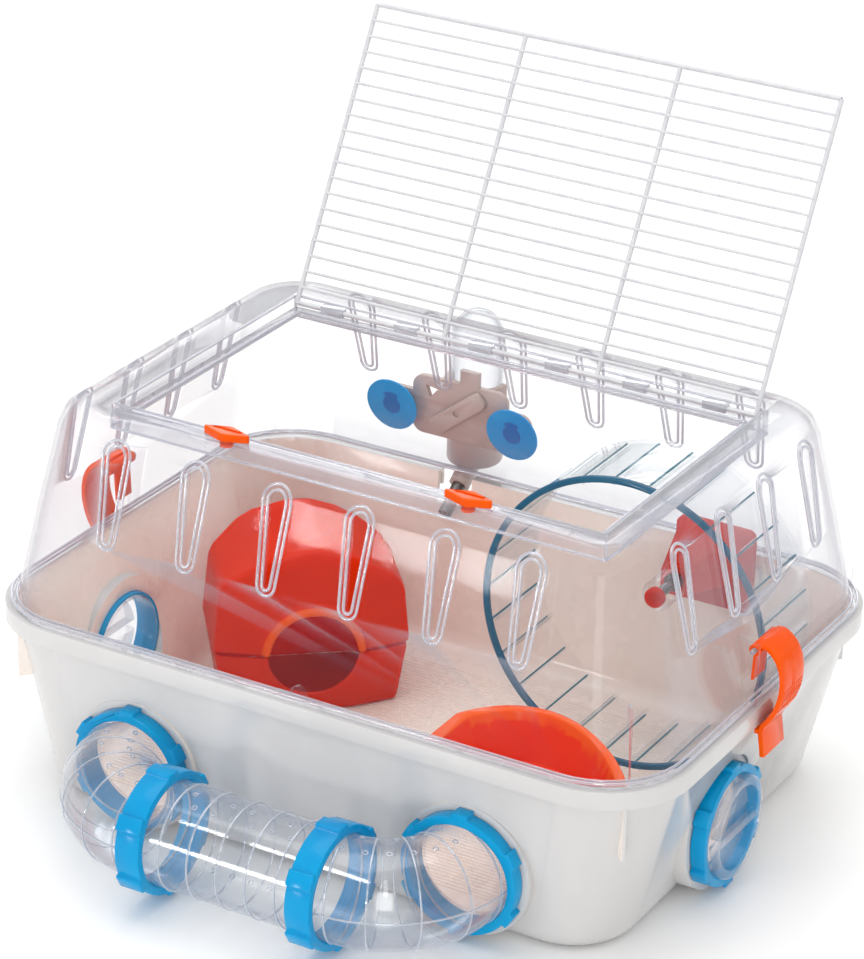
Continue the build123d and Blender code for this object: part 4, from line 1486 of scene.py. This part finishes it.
@dataclass
class Studio:
    """The pale floor, the soft light and the camera."""

    azimuth: float = 29.52
    elevation: float = 25.58
    roll: float = 1.44
    camera_at: tuple[float, float, float] = (0.9102, -1.6033, 1.0356)
    focal: float = 143.05
    shift: tuple[float, float] = (-0.0101, 0.0420)
    sky: float = 1.0
    horizon: float = 0.5
    full_from: float = 0.7
    boxes: tuple[Softbox, ...] = (
        Softbox("overhead", (-0.2, 0.1, 1.9), (0.0, 0.0, 0.1), 1.6, 1.2, 11.0),
        Softbox("front_band", (-0.84, -1.92, 0.22), (0.05, -0.13, 0.19), 0.34, 0.2, 5.0),
        Softbox("corner_strip", (0.72, -1.3, 0.45), (0.15, -0.1, 0.15), 0.3, 0.9, 4.5),
        Softbox("rear_panel", (-0.95, 1.7, 1.1), (0.0, 0.0, 0.15), 1.1, 0.5, 5.0),
    )

    def build(self) -> None:
        """Set up floor, world, lights and camera."""
        scene = bpy.context.scene
        scene.view_settings.view_transform = "Standard"
        scene.cycles.max_bounces = 16
        scene.cycles.transparent_max_bounces = 48
        scene.cycles.transmission_bounces = 12
        self.floor()
        self.dome()
        for box in self.boxes:
            box.light()
        self.camera()

    def dome(self) -> None:
        """Light the sky white, dimmer towards the horizon."""
        world = bpy.data.worlds.new("studio_white")
        world.use_nodes = True
        nodes, links = world.node_tree.nodes, world.node_tree.links
        place = nodes.new("ShaderNodeTexCoord")
        parts = set_up(nodes.new("ShaderNodeSeparateXYZ"), links, {0: place.outputs["Generated"]}, {})
        span = {"From Min": 0.0, "From Max": self.full_from, "To Min": self.horizon, "To Max": self.sky}
        rise = set_up(nodes.new("ShaderNodeMapRange"), links, {"Value": parts.outputs["Z"], **span}, {})
        white = {"Color": (1.0, 1.0, 1.0, 1.0), "Strength": rise.outputs["Result"]}
        set_up(nodes["Background"], links, white, {})
        bpy.context.scene.world = world

    def floor(self) -> None:
        """Lay the pale floor."""
        mesh = bpy.data.meshes.new("floor")
        mesh.from_pydata([(-6, -6, 0), (6, -6, 0), (6, 6, 0), (-6, 6, 0)], [], [(0, 1, 2, 3)])
        pale = Moulded(
            "floor_pale", (0.97, 0.97, 0.965, 1), (0.965, 0.965, 0.96, 1), 0.7,
            flow_scale=3.0, flow_stretch=(1, 1, 1), grain=0.0, coat=0.0,
        )
        mesh.materials.append(pale.build())
        floor = scratch("floor", mesh)

    def camera(self) -> None:
        """Set the camera."""
        az, el, roll = (math.radians(v) for v in (self.azimuth, self.elevation, self.roll))
        back = Vector((math.sin(az) * math.cos(el), -math.cos(az) * math.cos(el), math.sin(el)))
        right = (-back).cross(Vector((0, 0, 1))).normalized()
        up = right.cross(-back)
        turned_right = math.cos(roll) * right + math.sin(roll) * up
        turned_up = -math.sin(roll) * right + math.cos(roll) * up
        lens = bpy.data.cameras.new("camera")
        lens.lens, lens.sensor_width = self.focal, 36.0
        lens.shift_x, lens.shift_y = self.shift
        lens.clip_end = 50.0
        eye = bpy.data.objects.new("camera", lens)
        bpy.context.scene.collection.objects.link(eye)
        basis = Matrix((turned_right, turned_up, back)).transposed().to_4x4()
        eye.matrix_world = Matrix.Translation(self.camera_at) @ basis
        bpy.context.scene.camera = eye


def main() -> None:
    """Build the cage and its studio."""
    logging.basicConfig(level=logging.INFO, format="%(name)s %(message)s")
    finishes = Finishes()
    parts = (Tub, ClearCover, WireLid, SideClips, TubeRun, SideCaps, RunningWheel, House, Bowl, Drinker)
    for part in parts:
        part(finishes).build()
    Studio().build()
    bpy.context.view_layer.update()


if __name__ == "__main__":
    main()
